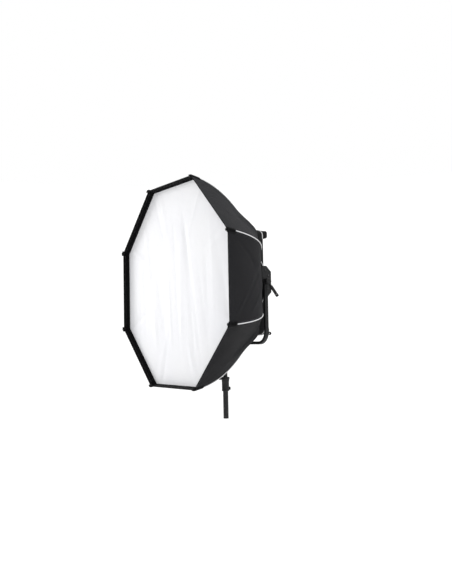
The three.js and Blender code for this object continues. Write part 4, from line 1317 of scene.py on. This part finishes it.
def make_brackets():
    for place, sign in (("right", 1), ("left", -1)):
        node, out = f"tilt_bracket_{place}", (sign, 0, 0)
        cad_copy(node, f"bracket_{place}", "black_metal", "head", 0.0014, 3, panel=(out, 0.006, 0.0014))
        low, high, _ = node_box(node)
        face = high.x if sign > 0 else low.x
        screws = Body()
        for y, z in ((0.012, -0.062), (0.032, -0.034), (0.032, 0.034), (0.012, 0.062)):
            add_screw(screws, (face - sign * 0.0014, y, AXIS_Z + z), out, 0.0042, 0.003)
        screws.build(f"bracket_screws_{place}", "screw", "head", (), "steel")
        low, high, _ = node_box(f"pivot_bolt_{place}")
        start, end = sorted((sign * low.x, sign * high.x))
        profile = softened([
            (0, start), (0.005, start), (0.005, 0.3713), (0.014, 0.3713), (0.014, 0.3767), (0.005, 0.3767),
            (0.005, end), (0, end),
        ], 0.0005)
        bolt = add_turned(Body(), profile, TILT_AXIS, out, 48)
        bolt.build(f"bolt_{place}", "steel", "head", [f"pivot_bolt_{place}"], "steel")


HUB_RADIUS = 0.017
HUB_START = 0.3934
HUB_END = 0.419


def hub_profile(r):
    return [
        (0.0054, HUB_START), (r * 0.9, HUB_START), (r, HUB_START + 0.0012), (r, HUB_END - 0.006),
        (r - 0.0012, HUB_END - 0.0035), (r - 0.004, HUB_END - 0.0012), (r - 0.0065, HUB_END - 0.0006),
        (r - 0.0075, HUB_END - 0.0016), (0.005, HUB_END - 0.0012), (0, HUB_END - 0.0006), (0, 0.4122),
        (0.0054, 0.4122),
    ]


def make_lever():
    flutes = lobed(24, 0.05, HUB_START + 0.001, HUB_END - 0.005)
    body = add_turned(Body(), hub_profile(HUB_RADIUS), TILT_AXIS, (1, 0, 0), 96, flutes)
    root, tip = Vector((0.406, 0, AXIS_Z)), Vector((0.434, 0.041, AXIS_Z - 0.080))
    direction = tip - root
    length = direction.length
    profile = [(0, 0.006), (0.0062, 0.008), (0.0056, 0.016), (0.0058, 0.028), (0.0078, 0.031)]
    profile.append((0.0082, 0.036))
    at = 0.038
    while at < length - 0.024:
        profile += [(0.0076, at), (0.0083, at + 0.0018), (0.0083, at + 0.0036), (0.0076, at + 0.0052)]
        at += 0.0056
    profile += [
        (0.0080, length - 0.020), (0.0080, length - 0.016), (0.0086, length - 0.004),
        (0.0078, length - 0.0012), (0.005, length + 0.0006), (0, length + 0.001),
    ]
    add_turned(body, profile, tuple(root), tuple(direction), 40)
    body.build("lever_grip", "plastic", "tilt_lever", ["tilt_lever"], "plastic", 30)
    r0, r1 = 0.0070, 0.0087
    closed = [(r0, length - 0.0155), (r1, length - 0.0155), (r1 + 0.0002, length - 0.0128),
              (r1, length - 0.0100), (r0, length - 0.0100)]
    ring = add_turned(Body(), closed, tuple(root), tuple(direction), 40)
    ring.build("lever_ring", "ring", "tilt_lever", (), "plastic")
    lobes = lobed(7, 0.16, HUB_START + 0.001, HUB_END - 0.003)
    knob = add_turned(Body(), hub_profile(HUB_RADIUS + 0.004), TILT_AXIS, (-1, 0, 0), 112, lobes)
    knob.build("knob_grip", "plastic", "tilt_knob", ["tilt_knob"], "plastic", 30)


# ---------------------------------------------------------------- yoke


def make_yoke():
    inner_end = ARM_X - YOKE_BEND
    path = [(ARM_X, 0, 0.0), (ARM_X, 0, -0.1), (ARM_X, 0, -0.2)]
    for step in range(17):
        angle = math.pi / 2 * step / 16
        path.append((
            inner_end + YOKE_BEND * math.cos(angle), 0, -YOKE_DROP + YOKE_BEND - YOKE_BEND * math.sin(angle),
        ))
    path += [(x, 0, -YOKE_DROP) for x in (0.25, 0.15, 0.05)]
    path = [(x, y, AXIS_Z + z) for x, y, z in path]
    path += [(-x, y, z) for x, y, z in reversed(path)]
    body = add_swept(Body(), path, rounded_box(ARM_THICK / 2, ARM_DEPTH / 2, 0.0032, 4))
    r = 0.0178
    start, end = ARM_X - ARM_THICK / 2 - 0.0001, ARM_X + ARM_THICK / 2 + 0.0001
    ring = [
        (0.0055, start), (r - 0.0018, start), (r - 0.0005, start + 0.0006), (r, start + 0.0018),
        (r, end - 0.0018), (r - 0.0005, end - 0.0006), (r - 0.0018, end), (0.0055, end),
    ]
    for sign in (1, -1):
        add_turned(body, ring, TILT_AXIS, (sign, 0, 0), 64)
    plate_z = AXIS_Z - YOKE_DROP
    add_block(body, (-0.036, -0.0135, plate_z - 0.0083), (0.036, 0.0135, plate_z + 0.0095), 0.002, 3)
    body.build("yoke_frame", "black_metal", "yoke", ["yoke"], "black_metal", 40)
    screws = Body()
    for x in (-0.026, 0.026, 0):
        add_screw(screws, (x, 0, plate_z + 0.0095), (0, 0, 1), 0.0048, 0.0034)
    screws.build("yoke_screws", "screw", "yoke", (), "steel")

    low, _, centre = node_box("cable_clip")
    ring = [(centre.x, centre.y + y, centre.z + z) for z, y in circle(0.0065, 40)]
    clip = add_swept(Body(), ring, rounded_box(0.005, 0.0024, 0.0016, 3), closed=True)
    add_pad(clip, centre.x, centre.z, 0.005, 0.007, low.y - 0.0006, low.y + 0.003, 0.001)
    clip.build("clip_loop", "plastic", "yoke", ["cable_clip"], "plastic", 50)


RECEIVER_KNOB_Z = 0.362
COLUMN_KNOB_Z = 0.224


def make_receiver():
    low, high, _ = node_box("yoke_receiver")
    r = (high.x - low.x) / 2
    rim, bore = r - 0.0006, 0.0084
    profile = [
        (bore, low.z), (r - 0.0032, low.z), (r - 0.0012, low.z + 0.0014), (rim, low.z + 0.004),
        (rim, low.z + 0.0125), (r - 0.0026, low.z + 0.0138), (r - 0.0026, low.z + 0.0162),
        (rim, low.z + 0.0175), (rim, high.z - 0.016), (r, high.z - 0.0145), (r, high.z - 0.001),
        (r - 0.0012, high.z), (bore, high.z),
    ]
    flutes = lobed(30, 0.03, low.z + 0.019, high.z - 0.018)
    receiver = add_turned(Body(), profile, steps=120, shape=flutes)
    boss = [(0.0046, 0.014), (0.0105, 0.014), (0.0105, r + 0.0008), (0.0046, r + 0.0008)]
    add_turned(receiver, softened(boss), (0, 0, RECEIVER_KNOB_Z), FORWARD, 40)
    receiver.build("receiver_socket", "black_metal", "yoke", ["yoke_receiver"], "black_metal", 40)
    low, high, _ = node_box("receiver_knob")
    start, reach, r = -high.y, -low.y, high.x
    profile = [
        (0, start), (0.004, start), (0.004, 0.0232), (r * 0.72, 0.0232), (r * 0.78, 0.0262), (r, 0.0290),
        (r, reach - 0.0040), (r * 0.94, reach - 0.0016), (r * 0.8, reach - 0.0004),
        (r * 0.45, reach - 0.0012), (0, reach - 0.0012),
    ]
    lobes = lobed(6, 0.2, 0.0262, reach - 0.001)
    knob = add_turned(Body(), profile, (0, 0, RECEIVER_KNOB_Z), FORWARD, 112, lobes)
    knob.build("receiver_knob_grip", "plastic", "receiver_knob", ["receiver_knob"], "plastic", 30)


# ---------------------------------------------------------------- column


def make_tube(node, name, body, steps, grooves):
    """A column tube with rounded ends and fine grooves at the given heights."""
    low, high, _ = node_box(node)
    r = (high.x - low.x) / 2
    inner, edge, floor = r - 0.002, 0.0006, r - 0.0004
    profile = [(inner, low.z), (r - edge, low.z), (r, low.z + edge)]
    for z in grooves:
        profile += [(r, z - 0.0006), (floor, z - 0.0002), (floor, z + 0.0002), (r, z + 0.0006)]
    profile += [(r, high.z - edge), (r - edge, high.z), (inner, high.z)]
    add_turned(Body(), profile, steps=steps).build(name, "black_tube", body, [node], "black_metal")


def make_column():
    make_tube("lower_tube", "lower_column_tube", "column", 72, (0.012,))
    make_tube("upper_tube", "upper_column_tube", "upper_column", 64, (0.25, 0.275, 0.30, 0.325))
    plug = add_turned(Body(), softened([
        (0, 0), (0.015, 0), (0.015, 0.003), (0.0127, 0.003), (0.0127, 0.005), (0.0124, 0.006),
        (0.0127, 0.007), (0.0127, 0.015), (0, 0.015),
    ]), steps=56)
    plug.build("column_plug", "rubber", "column", ["end_plug"], "rubber")

    low, high, _ = node_box("stand_spigot")
    r = 0.008
    spigot = add_turned(Body(), softened([
        (0, low.z), (0.0102, low.z), (0.0102, 0.3303), (0.0125, 0.3303), (0.0125, 0.334), (r, 0.334),
        (r, 0.350), (r - 0.0018, 0.352), (r - 0.0018, 0.366), (r, 0.368), (r, high.z - 0.002),
        (r - 0.002, high.z), (0, high.z),
    ], 0.0005), steps=48)
    spigot.build("spigot_pin", "steel", "upper_column", ["stand_spigot"], "steel")

    low, high, _ = node_box("column_collar")
    flange = (high.x - low.x) / 2
    r = flange - 0.0025
    collar = add_turned(Body(), [
        (0.0153, low.z), (r - 0.0018, low.z), (r, low.z + 0.0018), (r, low.z + 0.008),
        (r - 0.0008, low.z + 0.0092), (r - 0.0008, 0.2050), (r, 0.2065), (r, 0.2160), (flange, 0.2175),
        (flange, high.z - 0.002), (flange - 0.002, high.z), (0.0129, high.z), (0.0129, 0.1853),
        (0.0153, 0.1853),
    ], steps=144, shape=lobed(24, 0.035, low.z + 0.009, 0.2055))
    for x in (-0.007, 0.007):
        add_pad(collar, x, 0.167, 0.004, 0.009, flange - 0.004, flange + 0.0035, 0.0014, 3)
    boss = [(0.0046, 0.016), (0.0088, 0.016), (0.0088, flange + 0.0008), (0.0046, flange + 0.0008)]
    add_turned(collar, softened(boss, 0.0005), (0, 0, COLUMN_KNOB_Z), FORWARD, 40)
    collar.build("column_clamp", "plastic", "column", ["column_collar"], "black_metal", 40)
    bolt = Body()
    for sign in (1, -1):
        add_screw(bolt, (sign * 0.011, flange + 0.0002, 0.167), (sign, 0, 0), 0.0030, 0.002)
    bolt.build("clamp_bolt", "screw", "column", (), "steel")

    low, high, _ = node_box("column_knob")
    start, reach = -high.y, -low.y
    knob = add_turned(Body(), softened([
        (0, start), (0.004, start), (0.004, 0.0250), (0.0072, 0.0250), (0.0078, 0.0300),
        (0.0078, reach - 0.002), (0.006, reach), (0, reach),
    ]), (0, 0, COLUMN_KNOB_Z), FORWARD, 40)
    scale = [0.95, 1.0, 1.0, 0.98, 1.0, 1.08, 1.12, 0.95, 0.55]
    for sign in (-1, 1):
        reach = np.linspace(0.002, 0.0185, 9)
        wing = [(sign * s, -0.0355 - 0.0025 * s / 0.018, COLUMN_KNOB_Z) for s in reach]
        add_swept(knob, wing, rounded_box(0.0042, 0.0042, 0.0026, 4), scale)
    knob.build("column_knob_wings", "plastic", "column_knob", ["column_knob"], "plastic", 40)


# ---------------------------------------------------------------- assembly

make_camera()
make_stage()
make_rods()
for number in range(8):
    make_panel(number)
for number in range(8):
    make_cap(number)
make_lip()
make_diffusers()
make_collar()
make_lamp()
make_controls()
make_brackets()
make_lever()
make_yoke()
make_receiver()
make_column()
